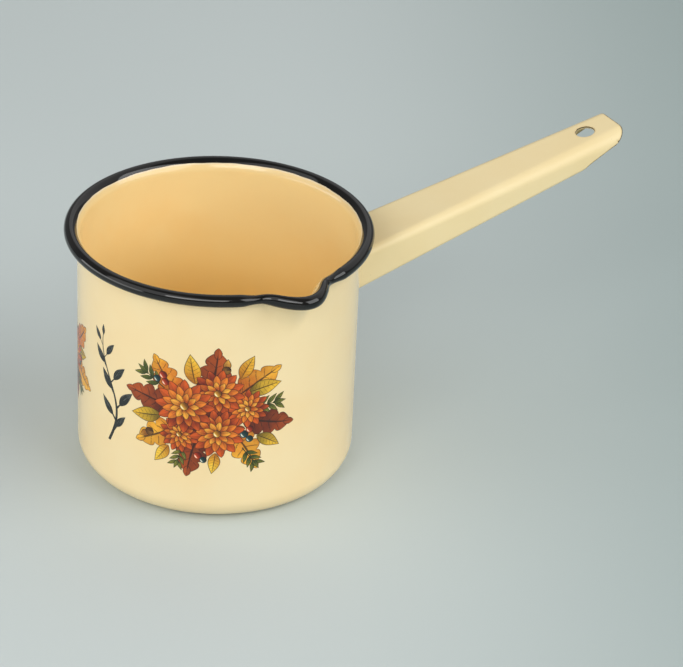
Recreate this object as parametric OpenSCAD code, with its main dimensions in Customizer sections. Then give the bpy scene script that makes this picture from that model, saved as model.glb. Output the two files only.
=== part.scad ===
// Small milk pan in enamelled sheet steel: a drawn bowl with a rolled rim and a pressed pouring
// lip, a hollow folded handle welded to its wall, fused coats of enamel and a printed transfer.
// Millimetres. The origin is the middle of the base, the handle points along +X and +Z is up.

/* [Bowl] */
// Outside diameter of the wall, over the enamel
bowl_d = 130; // [112:1:160]
// Height from the surface it stands on to the top of the rim
bowl_h = 121.8; // [110:0.1:150]
// Outside radius of the corner between the base and the wall
corner_r = 12.4; // [8:0.1:18]
// Thickness of the bowl's steel sheet
bowl_t = 0.8; // [0.6:0.05:1]
// Thickness of each coat of enamel, on the bowl and on the handle
coat_t = 0.3; // [0.2:0.02:0.4]

/* [Base] */
// Flat width of the base outside its pressed ring
base_flat_w = 9; // [5:0.5:14]
// Width of the pressed ring
ring_w = 10; // [6:0.5:14]
// Height of the pressed ring's middle above the rest of the base
ring_h = 1; // [0.4:0.1:1.6]

/* [Rim] */
// Radius of the rolled bead, over the enamel
bead_r = 2.84; // [2.6:0.02:3.2]
// Distance from the bowl's inner face out to the bead's centre
bead_out = 4.6; // [4.3:0.1:5.6]
// Height of the bead's centre above the foot of the flare
flare_h = 3.9; // [3.5:0.1:6]
// Gap between the curl's edge and the wall
curl_gap = 0.25; // [0.15:0.05:0.5]
// How far the black coat reaches down inside the flare
black_in = 1.6; // [1:0.1:2]

/* [Pouring lip] */
// Direction of the lip, in degrees from the handle
lip_az = -87; // [-110:1:-75]
// Width of the lip, measured round the rim
lip_w = 36.6; // [28:0.2:42]
// How far the lip stands out from the round rim
lip_out = 10.5; // [4:0.5:13]
// How far the lip reaches down the wall below the flare
lip_drop = 20; // [12:1:26]

/* [Handle] */
// Slope of the handle above the horizontal, in degrees
handle_slope = 12.6; // [6:0.1:18]
// Height of the handle's top where it meets the wall
handle_z = 97.5; // [88:0.5:102]
// Length from the wall to the tip, along the slope
handle_len = 153.8; // [120:0.1:190]
// Width of the handle at the wall
handle_w = 31.7; // [28:0.1:36]
// Width of the handle at the tip
tip_w = 24.6; // [21:0.1:28]
// Depth of the handle's sides at the wall
handle_d = 18.25; // [15:0.05:21]
// Depth that the sides would have at the tip, were they not trimmed
tip_d = 11.2; // [10:0.1:14]
// Radius of the handle's shoulders at the wall
shoulder_r = 3.2; // [2.2:0.1:5]
// Radius of the handle's shoulders at the tip
tip_shoulder_r = 6.3; // [4:0.1:7]
// Radius of the folds along the underside
fold_r = 2; // [1.9:0.05:2.6]
// Gap of the seam along the underside
seam_gap = 1.2; // [0.6:0.1:3]
// Thickness of the handle's steel sheet
handle_t = 0.8; // [0.6:0.05:1]

/* [Handle tip] */
// Length of the slanting trim of the sides, from the tip back to the folds
trim_len = 22.4; // [16:0.2:30]
// Depth of the trim's line at the tip
trim_d = 4.5; // [3:0.1:7]
// Length that the trim takes from there through the folds
fold_trim_len = 4.4; // [2:0.1:6]
// Radius of the tip's corners, seen from above
tip_corner_r = 5; // [2:0.1:7]
// Diameter of the hanging hole, over the enamel
hole_d = 9.2; // [6:0.1:11]
// Distance from the tip to the middle of the hanging hole
hole_in = 16; // [11:0.1:24]

/* [Handle root] */
// Width of the flange that is turned inwards at the root
flange_w = 5; // [4.2:0.1:5.4]
// Diameter of the plug welds through the flange
weld_d = 3.2; // [2.4:0.1:3.6]

/* [Printed transfer] */
// Thickness of the fired print
print_t = 0.1; // [0.06:0.02:0.2]
// Height of the middle of the print above the base
print_z = 59; // [52:0.5:64]
// Direction of the middle of the large posy, in degrees from the handle
posy_az = -121; // [-126:0.5:-116]
// Width of the large posy, measured round the wall
posy_w = 72; // [60:1:76]
// Height of the large posy
posy_h = 60; // [48:1:64]
// Distance round the wall from the large posy's edge to the ink twig
twig_gap = 15.1; // [14:0.1:18]
// Distance round the wall from the ink twig to the small posy's edge
small_posy_gap = 19.1; // [18:0.1:23]
// Width of the small posy
small_posy_w = 48; // [40:1:52]
// Height of the small posy
small_posy_h = 42; // [34:1:50]
// Height of the ink twig
twig_h = 55; // [44:1:60]
// Greatest width of the twig's brush stroke
twig_stroke_w = 1.7; // [1:0.1:2.4]

/* [Hidden] */
$fn = 96;

// Steps that round stretches are drawn with
corner_steps = 10;
ring_steps = 12;
flare_steps = 7;
bead_steps = 18;
shoulder_steps = 8;
fold_steps = 4;
lip_step_a = 1.5;

// Bowl: a layer's depth k is counted outwards from the inside coat's own inner face
wall_t = bowl_t + 2 * coat_t;
bowl_r = bowl_d / 2;
inner_r = bowl_r - wall_t;
steel_k = coat_t;
skin_k = coat_t + bowl_t;
flat_r = bowl_r - corner_r;
ring_r = flat_r - base_flat_w - ring_w / 2;
bead_z = bowl_h - bead_r;
rim_r = inner_r + bead_out;

// Lip: its bell, and the pinch of the bead at its two shoulders, as shares of the half width
lip_half_a = lip_w / 2 / rim_r * 180 / PI;
bell_power = 2.1;
pinch_share = 0.29;
pinch_at_share = 1.06;
pinch_span_share = 0.45;
nose_share = 0.1;
patch_end_share = 1.56;
patch_a = lip_half_a * patch_end_share;
patch_margin = 7;
patch_z = bead_z - flare_h - lip_drop - patch_margin;

// The lip's skin lies this far inside the round bowl's and runs on into it by its overlap
seam_in = 0.02;
seam_lap = 0.5;

// Handle
end_tries = 4;
root_in = 12;
tip_over = 2;
cut_over = 1;
hole_r = hole_d / 2;
hole_x = handle_len - hole_in;
sheet_in = coat_t + handle_t;
lining_in = sheet_in + coat_t;
steel_r = bowl_r - coat_t;
flange_t = handle_t;
corner_y = tip_w / 2 - tip_corner_r;
kink_d = mix(handle_d, tip_d, 1 - trim_len / handle_len) - fold_r;
weld_z_shares = [0.32, 0.68];

// Print: directions of the twig and the small posy, and how far the prisms that cut the print
// out of the wall reach in and out of it
twig_az = posy_az - (posy_w / 2 + twig_gap) / bowl_r * 180 / PI;
small_posy_az = twig_az - (small_posy_gap + small_posy_w / 2) / bowl_r * 180 / PI;
print_reach = 20;

// Points of an arc from one angle to another
function arc(cx, cy, r, a0, a1, n) = [
    for (i = [0 : n])
        let (a = a0 + (a1 - a0) * i / n)
        [cx + r * cos(a), cy + r * sin(a)]
];

// A value between two others
function mix(a, b, q) = a + (b - a) * q;

// Share of the lip's full reach at t, where t is 1 at the end of its half width
function bell(t) = abs(t) < 1 ? pow(1 - t * t, bell_power) : 0;

// Share of the pinch at t
function pinch(t) =
    let (v = (abs(t) - pinch_at_share) / pinch_span_share)
    abs(v) < 1 ? pow(1 - v * v, 2) : 0;

// Bead radius at t
function bead_at(t) = bead_r * (1 - pinch_share * pinch(t) + nose_share * bell(t));

// Distance of the bead's centre from the inner face, and height above the foot of its flare
function out_at(t) = bead_out + lip_out * bell(t);
function rise_at(t) = flare_h + lip_drop * bell(t);

// Radius of the flare that leaves the wall upright and runs into the bead without a corner
function flare_at(t) =
    let (x = out_at(t), d = rise_at(t), r = bead_at(t))
    (x * x + d * d - r * r) / (2 * (x - r));

// Angle at which the flare runs into the bead, seen from both centres
function join_at(t) =
    let (f = flare_at(t))
    acos((out_at(t) - f) / (f - bead_at(t)));

// Angle at which the curl ends, with its gap to the wall
function curl_end_at(t) =
    let (f = flare_at(t), r = bead_at(t), c = f - r, w = f - wall_t - curl_gap)
    join_at(t) - 360 + acos((w * w - c * c - r * r) / (2 * r * c));

// Angle on the flare that faces the curl's end
function facing_at(t) =
    let (f = flare_at(t), r = bead_at(t), e = curl_end_at(t))
    let (x = out_at(t) - f + r * cos(e), z = rise_at(t) + r * sin(e))
    atan2(z, x);

// Angle on the flare at which the black coat starts
function black_at(t) = join_at(t) + black_in / flare_at(t) * 180 / PI;

// Arcs of a layer at depth k, on the flare and on the bead
function flare_arc(t, k, a0, a1, n = flare_steps) =
    arc(inner_r + flare_at(t), bead_z - rise_at(t), flare_at(t) - k, a0, a1, n);
function bead_arc(t, k, a0, a1) =
    arc(inner_r + out_at(t), bead_z, bead_at(t) - k, a0, a1, bead_steps);

// A list without its first point
function rest(list) = [for (i = [1 : len(list) - 1]) list[i]];

// A list back to front
function flip(list) = [for (i = [len(list) - 1 : -1 : 0]) list[i]];

// Upper stretch of each layer, from height z0 on the wall to the layer's own end.
// cut is how far the layer stops short of that end.
function steel_top(t, k, z0, cut = 0) = concat(
    [[inner_r + k, z0]],
    flare_arc(t, k, 180, join_at(t)),
    rest(bead_arc(t, k, join_at(t), curl_end_at(t) + cut / bead_at(t) * 180 / PI))
);
function inside_top(t, k, z0, cut = 0) = concat(
    [[inner_r + k, z0]],
    flare_arc(t, k, 180, black_at(t) + cut / flare_at(t) * 180 / PI)
);
function outside_top(t, k, z0, cut = 0) = concat(
    [[inner_r + k, z0]],
    flare_arc(t, k, 180, facing_at(t) + cut / flare_at(t) * 180 / PI)
);
function black_top(t, k, cut = 0) = concat(
    flare_arc(t, k, black_at(t) - cut / flare_at(t) * 180 / PI, join_at(t), 2),
    rest(bead_arc(t, k, join_at(t), curl_end_at(t) + cut / bead_at(t) * 180 / PI))
);

// Base and corner of a layer, from the axis out to the foot of the wall
function base_path(k) = concat(
    [[0, wall_t - k]],
    [
        for (i = [0 : ring_steps])
            let (x = 2 * i / ring_steps - 1)
            [ring_r + x * ring_w / 2, wall_t - k + ring_h * pow(1 - x * x, 2)]
    ],
    arc(flat_r, corner_r, corner_r - wall_t + k, -90, 0, corner_steps)
);

// Closed outline between two paths
function band(a, b) = concat(a, flip(b));

// Sheet between two grids of points, rings by points, closed along its four edges
module sheet_between(a, b) {
    rings = len(a);
    n = len(a[0]);
    far = rings * n;
    faces = concat(
        [for (j = [0 : rings - 2], i = [0 : n - 2]) each [
            [j * n + i, j * n + i + 1, (j + 1) * n + i + 1],
            [j * n + i, (j + 1) * n + i + 1, (j + 1) * n + i],
            [far + j * n + i, far + (j + 1) * n + i + 1, far + j * n + i + 1],
            [far + j * n + i, far + (j + 1) * n + i, far + (j + 1) * n + i + 1]
        ]],
        [for (j = [0 : rings - 2]) each [
            [j * n, (j + 1) * n, far + (j + 1) * n],
            [j * n, far + (j + 1) * n, far + j * n],
            [j * n + n - 1, far + (j + 1) * n + n - 1, (j + 1) * n + n - 1],
            [j * n + n - 1, far + j * n + n - 1, far + (j + 1) * n + n - 1]
        ]],
        [for (i = [0 : n - 2], end = [0, 1]) each let (
            p = end * (rings - 1) * n + i,
            q = far + p
        ) end == 0
            ? [[p, q + 1, p + 1], [p, q, q + 1]]
            : [[p, p + 1, q + 1], [p, q + 1, q]]
        ]
    );
    polyhedron(points = concat([for (r = a) each r], [for (r = b) each r]), faces = faces);
}

// Angles, from the lip's middle, at which its skin has a ring of points
lip_rings = ceil((2 * patch_a + 2 * seam_lap) / lip_step_a);
lip_angles = [for (j = [0 : lip_rings]) mix(-patch_a - seam_lap, patch_a + seam_lap, j / lip_rings)];

// A section's points stood up at an angle from the lip's middle
function stand(section, a) = [
    for (p = section) [p[0] * cos(lip_az + a), p[0] * sin(lip_az + a), p[1]]
];

// Takes the lip's sector out of a round layer
module without_lip_sector(z0) {
    difference() {
        children();
        rotate_extrude(angle = 2 * patch_a, start = lip_az - patch_a)
            translate([inner_r - 2 * bead_out, z0])
                square([bead_out * 4, bowl_h]);
    }
}

// Section of the handle at inset o, from the seam's one side round to its other.
// q is how far along it stands, from 0 at the wall to 1 at the tip.
function handle_section(q, o, seam = true) = let (
    w = mix(handle_w, tip_w, q) / 2,
    d = mix(handle_d, tip_d, q),
    r = mix(shoulder_r, tip_shoulder_r, q),
    half = concat(
        arc(w - r, -r, r - o, 90, 0, shoulder_steps),
        arc(w - fold_r, fold_r - d, fold_r - o, 0, -90, fold_steps),
        seam ? [[seam_gap / 2, o - d]] : []
    )
) concat([for (p = flip(half)) [-p[0], p[1]]], half);

function handle_ring(x, o, seam = true) = [
    for (p = handle_section(x / handle_len, o, seam)) [x, p[0], p[1]]
];

// Places things in the handle's own frame: x along its top, y across and z out of its top
module in_handle_frame() {
    translate([bowl_r, 0, handle_z])
        rotate([0, -handle_slope, 0])
            children();
}

// Distance from the wall to the tip's outline, as far from its middle as y
function tip_at(y) =
    let (past = min(max(abs(y) - corner_y, 0), tip_corner_r))
    handle_len - tip_corner_r + sqrt(pow(tip_corner_r, 2) - pow(past, 2));

// Distance from the wall to the trim's line, at a depth below the handle's top
function trim_at(depth) = handle_len - (depth < kink_d
    ? trim_len * (depth - trim_d) / (kink_d - trim_d)
    : trim_len + fold_trim_len * (depth - kink_d) / fold_r);

// Distance from the wall at which a point of the section ends. The handle tapers, so that the point
// is looked up again at each try.
function end_at(i, x, tries = end_tries) =
    let (p = handle_section(x / handle_len, 0)[i])
    tries == 0 ? x : end_at(i, min(tip_at(p[0]), trim_at(-p[1])), tries - 1);

// Layer of the handle between two insets. It is cut square to the sheet all round the tip.
handle_ends = [for (i = [0 : len(handle_section(1, 0)) - 1]) end_at(i, handle_len)];
function end_ring(o) = [
    for (i = [0 : len(handle_ends) - 1])
        let (x = handle_ends[i], p = handle_section(x / handle_len, o)[i])
        [x, p[0], p[1]]
];
module handle_layer(o0, o1) {
    sheet_between(
        [handle_ring(-root_in, o0), end_ring(o0)],
        [handle_ring(-root_in, o1), end_ring(o1)]
    );
}

// The whole bar inside a layer, down to and across the seam
module handle_bar(o) {
    rings = [for (x = [-root_in, handle_len + tip_over]) handle_ring(x, o, false)];
    n = len(rings[0]);
    polyhedron(
        points = concat(rings[0], rings[1]),
        faces = concat(
            [[for (i = [0 : n - 1]) n - 1 - i], [for (i = [0 : n - 1]) n + i]],
            [for (i = [0 : n - 1]) let (k = (i + 1) % n) each [[i, k, n + k], [i, n + k, n + i]]]
        )
    );
}

// Cuts a layer of the handle to the wall it stands on, and cuts its hole
module trimmed_handle(foot_r, bore_r) {
    difference() {
        in_handle_frame()
            difference() {
                children();
                translate([hole_x, 0, -tip_shoulder_r])
                    cylinder(r = bore_r, h = tip_shoulder_r + cut_over);
            }
        cylinder(r = foot_r, h = 2 * bowl_h);
    }
}

// Wall-shaped slice between two radii, as tall as the bowl
module wall_slice(r0, r1) {
    difference() {
        cylinder(r = r1, h = bowl_h);
        translate([0, 0, -cut_over])
            cylinder(r = r0, h = bowl_h + 2 * cut_over);
    }
}

// One plug weld's round bar, at each of its four places
module weld_bars() {
    inner_half_w = handle_w / 2 - sheet_in;
    for (side = [-1, 1], share = weld_z_shares)
        in_handle_frame()
            translate([-root_in, side * (inner_half_w - flange_w / 2), -handle_d * share])
                rotate([0, 90, 0])
                    cylinder(d = weld_d, h = 2 * root_in);
}

// Flange turned inwards at the handle's root, lying on the wall
module root_flange() {
    inner_half_w = handle_w / 2 - sheet_in;
    difference() {
        intersection() {
            wall_slice(steel_r, steel_r + flange_t);
            in_handle_frame() handle_bar(coat_t + handle_t / 2);
        }
        in_handle_frame()
            translate([-root_in, flange_w - inner_half_w, sheet_in + flange_w - handle_d])
                cube([2 * root_in, 2 * (inner_half_w - flange_w), handle_d - 2 * (sheet_in + flange_w)]);
        weld_bars();
    }
}

// Outlines of the print's motifs, in the plane of the wall laid flat, each pointing along +x
function lens(l, w, n) = concat(
    [for (i = [0 : n]) let (u = i / n) [l * u, w / 2 * sin(180 * pow(u, lens_power))]],
    [for (i = [n - 1 : -1 : 1]) let (u = i / n) [l * u, -w / 2 * sin(180 * pow(u, lens_power))]]
);
lens_power = 0.8;
lobe_depth_share = 0.36;
lobe_power = 0.7;
petal_depth_share = 0.09;

function lobed(l, w, lobes, n) =
    let (edge = function (u) w / 2 * pow(sin(180 * pow(u, lens_power)), lens_power)
        * (1 - lobe_depth_share + lobe_depth_share * pow(abs(sin(180 * (lobes + 0.5) * u)), lobe_power)))
    concat(
        [for (i = [0 : n]) let (u = i / n) [l * u, edge(u)]],
        [for (i = [n - 1 : -1 : 1]) let (u = i / n) [l * u, -edge(u)]]
    );

function rosette(r, petals, n) = [
    for (i = [0 : n - 1])
        let (a = 360 * i / n, s = r * (1 - petal_depth_share + petal_depth_share * cos(petals * a)))
        [s * cos(a), s * sin(a)]
];

function disc(r, n) = [for (i = [0 : n - 1]) r * [cos(360 * i / n), sin(360 * i / n)]];

// Turns and moves an outline, then lays it on the wall as seen square on
function place(points, x, y, a) = [
    for (p = points) [x + p[0] * cos(a) - p[1] * sin(a), y + p[0] * sin(a) + p[1] * cos(a)]
];
function wrap(points) = [for (p = points) [bowl_r * sin(p[0] / bowl_r * 180 / PI), p[1]]];

// Kinds of motif in the tables of places
OAK = 0;
BEECH = 1;
DAHLIA = 2;
BERRY = 3;
SPRIG = 4;
ACORN = 5;

oak_width_share = 0.56;
beech_width_share = 0.5;
sprig_leaf_share = 0.42;
sprig_width_share = 0.15;
sprig_step_shares = [0.2, 0.42, 0.64];
sprig_turn = 42;
sprig_stem_share = 0.03;
acorn_width_share = 0.62;
acorn_cap_share = 0.36;

// Large posy: kind, place across and up as shares of its half width and half height, size as a
// share of its height, and the direction it points in
posy_shares = [
    [OAK, 0.3, 0.24, 0.46, 34],
    [OAK, -0.02, 0.2, 0.48, 80],
    [OAK, -0.34, 0.2, 0.42, 122],
    [OAK, -0.4, 0.02, 0.44, 168],
    [OAK, -0.34, -0.2, 0.44, 212],
    [OAK, -0.08, -0.24, 0.46, 256],
    [OAK, 0.26, -0.2, 0.46, 300],
    [OAK, 0.42, -0.06, 0.44, 346],
    [BEECH, -0.16, 0.5, 0.26, 100],
    [BEECH, 0.5, 0.36, 0.27, 12],
    [BEECH, 0.4, 0.6, 0.22, 62],
    [BEECH, -0.6, -0.12, 0.26, 190],
    [BEECH, -0.5, -0.62, 0.2, 236],
    [BEECH, 0.62, -0.4, 0.22, 328],
    [BEECH, 0.1, -0.68, 0.19, 262],
    [SPRIG, -0.56, 0.36, 0.27, 146],
    [SPRIG, 0.56, 0.1, 0.27, 4],
    [SPRIG, -0.3, -0.6, 0.22, 250],
    [SPRIG, 0.44, -0.6, 0.24, 304],
    [ACORN, 0.22, 0.76, 0.1, 84],
    [ACORN, -0.76, -0.46, 0.1, 214],
    [DAHLIA, -0.36, -0.4, 0.16, 10],
    [DAHLIA, 0.5, 0.08, 0.17, 30],
    [DAHLIA, 0.12, 0.36, 0.21, 20],
    [DAHLIA, 0.12, -0.34, 0.215, 40],
    [DAHLIA, -0.3, 0.1, 0.235, 0],
    [BERRY, -0.58, 0.58, 0.034, 0],
    [BERRY, -0.66, 0.5, 0.03, 0],
    [BERRY, -0.55, 0.47, 0.032, 0],
    [BERRY, 0.46, -0.36, 0.034, 0],
    [BERRY, 0.53, -0.28, 0.03, 0],
    [BERRY, 0.53, -0.45, 0.03, 0],
    [BERRY, -0.12, -0.74, 0.032, 0],
    [BERRY, -0.05, -0.81, 0.028, 0]
];

// Small posy, in the same form
small_posy_shares = [
    [OAK, 0.2, 0.2, 0.56, 44],
    [OAK, -0.1, 0.14, 0.5, 100],
    [OAK, 0.24, -0.14, 0.54, 342],
    [OAK, 0.04, -0.24, 0.5, 284],
    [OAK, -0.3, 0.0, 0.5, 166],
    [OAK, -0.3, -0.3, 0.42, 222],
    [BEECH, 0.36, 0.1, 0.32, 12],
    [BEECH, -0.3, 0.4, 0.28, 128],
    [SPRIG, 0.3, -0.36, 0.34, 310],
    [SPRIG, -0.44, 0.22, 0.3, 146],
    [DAHLIA, -0.34, -0.22, 0.2, 0],
    [DAHLIA, 0.12, 0.08, 0.27, 15],
    [BERRY, 0.5, -0.1, 0.05, 0],
    [BERRY, 0.58, 0.02, 0.045, 0],
    [BERRY, -0.08, -0.56, 0.05, 0]
];

module outline(points) {
    polygon(wrap(points));
}

module motif(kind, x, y, size, a) {
    if (kind == OAK)
        outline(place(lobed(size, size * oak_width_share, 4, 27), x, y, a));
    if (kind == BEECH)
        outline(place(lens(size, size * beech_width_share, 10), x, y, a));
    if (kind == DAHLIA)
        outline(place(rosette(size, 12, 48), x, y, a));
    if (kind == BERRY)
        outline(place(disc(size, 14), x, y, a));
    if (kind == ACORN) {
        outline(place(lens(size, size * acorn_width_share, 8), x, y, a));
        outline(place(disc(size * acorn_cap_share, 12), x, y, a));
    }
    if (kind == SPRIG) {
        outline(place(lens(size, size * sprig_stem_share, 6), x, y, a));
        for (share = sprig_step_shares, side = [-1, 1])
            outline(place(
                place(lens(size * sprig_leaf_share, size * sprig_width_share, 6),
                    size * share, 0, side * sprig_turn),
                x, y, a
            ));
        outline(place(
            place(lens(size * sprig_leaf_share, size * sprig_width_share, 6),
                size * (1 - sprig_leaf_share), 0, 0),
            x, y, a
        ));
    }
}

module posy_outline(shares, w, h) {
    for (m = shares)
        motif(m[0], m[1] * w / 2, m[2] * h / 2, m[3] * h, m[4]);
}

// Brush stroke through points, thickest at its foot, with its width at each end
function stroke(points, w0, w1) = let (
    n = len(points) - 1,
    side = [
        for (i = [0 : n])
            let (d = points[min(i + 1, n)] - points[max(i - 1, 0)], l = norm(d))
            [-d[1], d[0]] / l * mix(w0, w1, i / n) / 2
    ]
) concat([for (i = [0 : n]) points[i] + side[i]], [for (i = [n : -1 : 0]) points[i] - side[i]]);

// Ink twig: its stem climbs in a slow wave, and its side shoots each carry a leaf
twig_sway_share = 0.09;
twig_tip_share = 0.25;
twig_points = 14;
twig_leaf_width_share = 0.36;
twig_shoot_share = 0.1;
// Height up the stem, side, length and turn of each leaf
twig_leaf_shares = [
    [0.12, 1, 0.17, 38], [0.22, -1, 0.2, 42], [0.34, 1, 0.22, 40], [0.46, -1, 0.2, 36],
    [0.56, 1, 0.2, 40], [0.67, -1, 0.18, 38], [0.76, 1, 0.16, 36], [0.86, -1, 0.13, 34]
];

function twig_at(u) = [twig_sway_share * twig_h * sin(300 * u), twig_h * (u - 0.5)];

module twig_outline() {
    outline(stroke(
        [for (i = [0 : twig_points]) twig_at(i / twig_points)],
        twig_stroke_w, twig_stroke_w * twig_tip_share
    ));
    for (m = twig_leaf_shares) {
        foot = twig_at(m[0]);
        a = 90 - m[1] * m[3];
        shoot = twig_h * twig_shoot_share;
        outline(stroke(
            [foot, foot + shoot * [cos(a), sin(a)]],
            twig_stroke_w * (1 - m[0]), twig_stroke_w * twig_tip_share
        ));
        outline(place(
            lens(twig_h * m[2], twig_h * m[2] * twig_leaf_width_share, 8),
            foot[0] + shoot * cos(a) / 2, foot[1] + shoot * sin(a) / 2, a
        ));
    }
    outline(place(
        lens(twig_h * twig_shoot_share, twig_h * twig_shoot_share * twig_leaf_width_share, 8),
        twig_at(1)[0], twig_at(1)[1] - twig_stroke_w, 90
    ));
}

// Fires an outline on to the wall, facing a direction. The offset of nothing joins its parts first.
module fired_on(az) {
    intersection() {
        wall_slice(bowl_r, bowl_r + print_t);
        rotate([0, 0, az])
            translate([bowl_r - print_reach, 0, print_z])
                rotate([90, 0, 90])
                    linear_extrude(2 * print_reach)
                        offset(delta = 0)
                            children();
    }
}

module pot_shell() {
    color("slategray") {
        without_lip_sector(patch_z)
            rotate_extrude()
                polygon(band(
                    concat(base_path(steel_k), rest(steel_top(2, steel_k, patch_z))),
                    concat(base_path(skin_k), rest(steel_top(2, skin_k, patch_z)))
                ));
        sheet_between(
            [for (a = lip_angles)
                stand(steel_top(a / lip_half_a, skin_k - seam_in, patch_z - seam_lap, seam_in), a)],
            [for (a = lip_angles)
                stand(steel_top(a / lip_half_a, steel_k + seam_in, patch_z - seam_lap, seam_in), a)]
        );
    }
}

module inner_enamel() {
    color("navajowhite") {
        without_lip_sector(patch_z)
            rotate_extrude()
                polygon(band(
                    concat(base_path(0), rest(inside_top(2, 0, patch_z))),
                    concat(base_path(steel_k), rest(inside_top(2, steel_k, patch_z)))
                ));
        sheet_between(
            [for (a = lip_angles)
                stand(inside_top(a / lip_half_a, steel_k - seam_in, patch_z - seam_lap, seam_in), a)],
            [for (a = lip_angles)
                stand(inside_top(a / lip_half_a, seam_in, patch_z - seam_lap, seam_in), a)]
        );
    }
}

module outer_enamel() {
    color("wheat")
        difference() {
            union() {
                without_lip_sector(patch_z)
                    rotate_extrude()
                        polygon(band(
                            concat(base_path(skin_k), rest(outside_top(2, skin_k, patch_z))),
                            concat(base_path(wall_t), rest(outside_top(2, wall_t, patch_z)))
                        ));
                sheet_between(
                    [for (a = lip_angles) stand(
                        outside_top(a / lip_half_a, wall_t - seam_in, patch_z - seam_lap, seam_in), a
                    )],
                    [for (a = lip_angles) stand(
                        outside_top(a / lip_half_a, skin_k + seam_in, patch_z - seam_lap, seam_in), a
                    )]
                );
            }
            in_handle_frame() handle_bar(-seam_in);
        }
}

module rim_enamel() {
    color("black") {
        without_lip_sector(patch_z)
            rotate_extrude()
                polygon(band(black_top(2, 0), black_top(2, steel_k)));
        sheet_between(
            [for (a = lip_angles) stand(black_top(a / lip_half_a, steel_k - seam_in, seam_in), a)],
            [for (a = lip_angles) stand(black_top(a / lip_half_a, seam_in, seam_in), a)]
        );
    }
}

module handle_shell() {
    color("slategray") {
        trimmed_handle(steel_r, hole_r + coat_t)
            handle_layer(coat_t, sheet_in);
        root_flange();
    }
}

module handle_enamel() {
    color("wheat")
        trimmed_handle(steel_r, hole_r)
            union() {
                handle_layer(0, coat_t);
                translate([hole_x, 0, -lining_in])
                    cylinder(r = hole_r + coat_t, h = lining_in - coat_t / 2);
            }
}

module handle_lining() {
    color("tan")
        trimmed_handle(steel_r + flange_t, hole_r + coat_t)
            handle_layer(sheet_in, lining_in);
}

module plug_welds() {
    color("dimgray")
        intersection() {
            wall_slice(steel_r, steel_r + flange_t);
            weld_bars();
        }
}

module posy_transfer() {
    color("chocolate")
        fired_on(posy_az)
            posy_outline(posy_shares, posy_w, posy_h);
}

module small_posy_transfer() {
    color("peru")
        fired_on(small_posy_az)
            posy_outline(small_posy_shares, small_posy_w, small_posy_h);
}

module ink_twig_transfer() {
    color("darkslategray")
        fired_on(twig_az)
            twig_outline();
}

pot_shell();
inner_enamel();
outer_enamel();
rim_enamel();
handle_shell();
handle_enamel();
handle_lining();
plug_welds();
posy_transfer();
small_posy_transfer();
ink_twig_transfer();
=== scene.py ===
"""Looks of a small enamelled milk pan: its coats, handle, fired print, studio and camera.

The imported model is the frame. The laws that shape the pieces count in millimetres, and a mesh gets metres.
"""

import logging
import math
from collections.abc import Callable, Sequence
from dataclasses import dataclass
from enum import Enum

import bpy
from mathutils import Matrix, Vector
from mathutils.kdtree import KDTree


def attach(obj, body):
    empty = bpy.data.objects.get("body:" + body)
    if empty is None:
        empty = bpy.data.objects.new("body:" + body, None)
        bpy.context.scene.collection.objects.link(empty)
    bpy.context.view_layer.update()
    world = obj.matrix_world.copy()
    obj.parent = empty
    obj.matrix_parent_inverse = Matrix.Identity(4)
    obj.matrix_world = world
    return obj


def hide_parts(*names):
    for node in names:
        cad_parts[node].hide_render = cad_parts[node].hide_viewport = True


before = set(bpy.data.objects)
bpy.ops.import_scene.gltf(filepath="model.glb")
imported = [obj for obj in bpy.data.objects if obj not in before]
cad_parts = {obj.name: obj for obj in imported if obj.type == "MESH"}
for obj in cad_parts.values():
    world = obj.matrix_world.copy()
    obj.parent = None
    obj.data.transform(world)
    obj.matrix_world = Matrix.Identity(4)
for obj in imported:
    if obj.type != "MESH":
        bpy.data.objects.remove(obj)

MM = 0.001
WALL_R = 65.0
STEEL_T = 0.8
COAT_T = 0.3
FAR = 99.0
log = logging.getLogger("milk_pan")

Flat = tuple[float, float]
Colour = tuple[float, float, float, float]
Law = Callable[[int, int], Vector]
Section = Callable[[float, float], list[Flat]]


def tone(code: str) -> Colour:
    """Turns a screen colour into the linear colour that a shader takes.

    Args:
        code: Six hexadecimal digits, red first.

    Returns:
        The linear colour, opaque.
    """
    parts = [int(code[i : i + 2], 16) / 255 for i in (0, 2, 4)]
    red, green, blue = (p / 12.92 if p <= 0.04045 else ((p + 0.055) / 1.055) ** 2.4 for p in parts)
    return red, green, blue, 1.0


def mix(first: float, second: float, share: float) -> float:
    """Returns the value that lies a share of the way from the first to the second."""
    return first + (second - first) * share


def polar(spot: Flat, angle: float, reach: float) -> Flat:
    """Returns the place at a reach from a spot, in a direction in degrees."""
    a = math.radians(angle)
    return spot[0] + reach * math.cos(a), spot[1] + reach * math.sin(a)


def arc(centre: Flat, radius: float, start: float, end: float, steps: int) -> list[Flat]:
    """Lists points along an arc.

    Args:
        centre: Middle of the arc.
        radius: Radius of the arc.
        start: First angle, in degrees.
        end: Last angle, in degrees.
        steps: Number of chords.

    Returns:
        One point more than there are chords.
    """
    return [polar(centre, mix(start, end, i / steps), radius) for i in range(steps + 1)]


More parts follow.
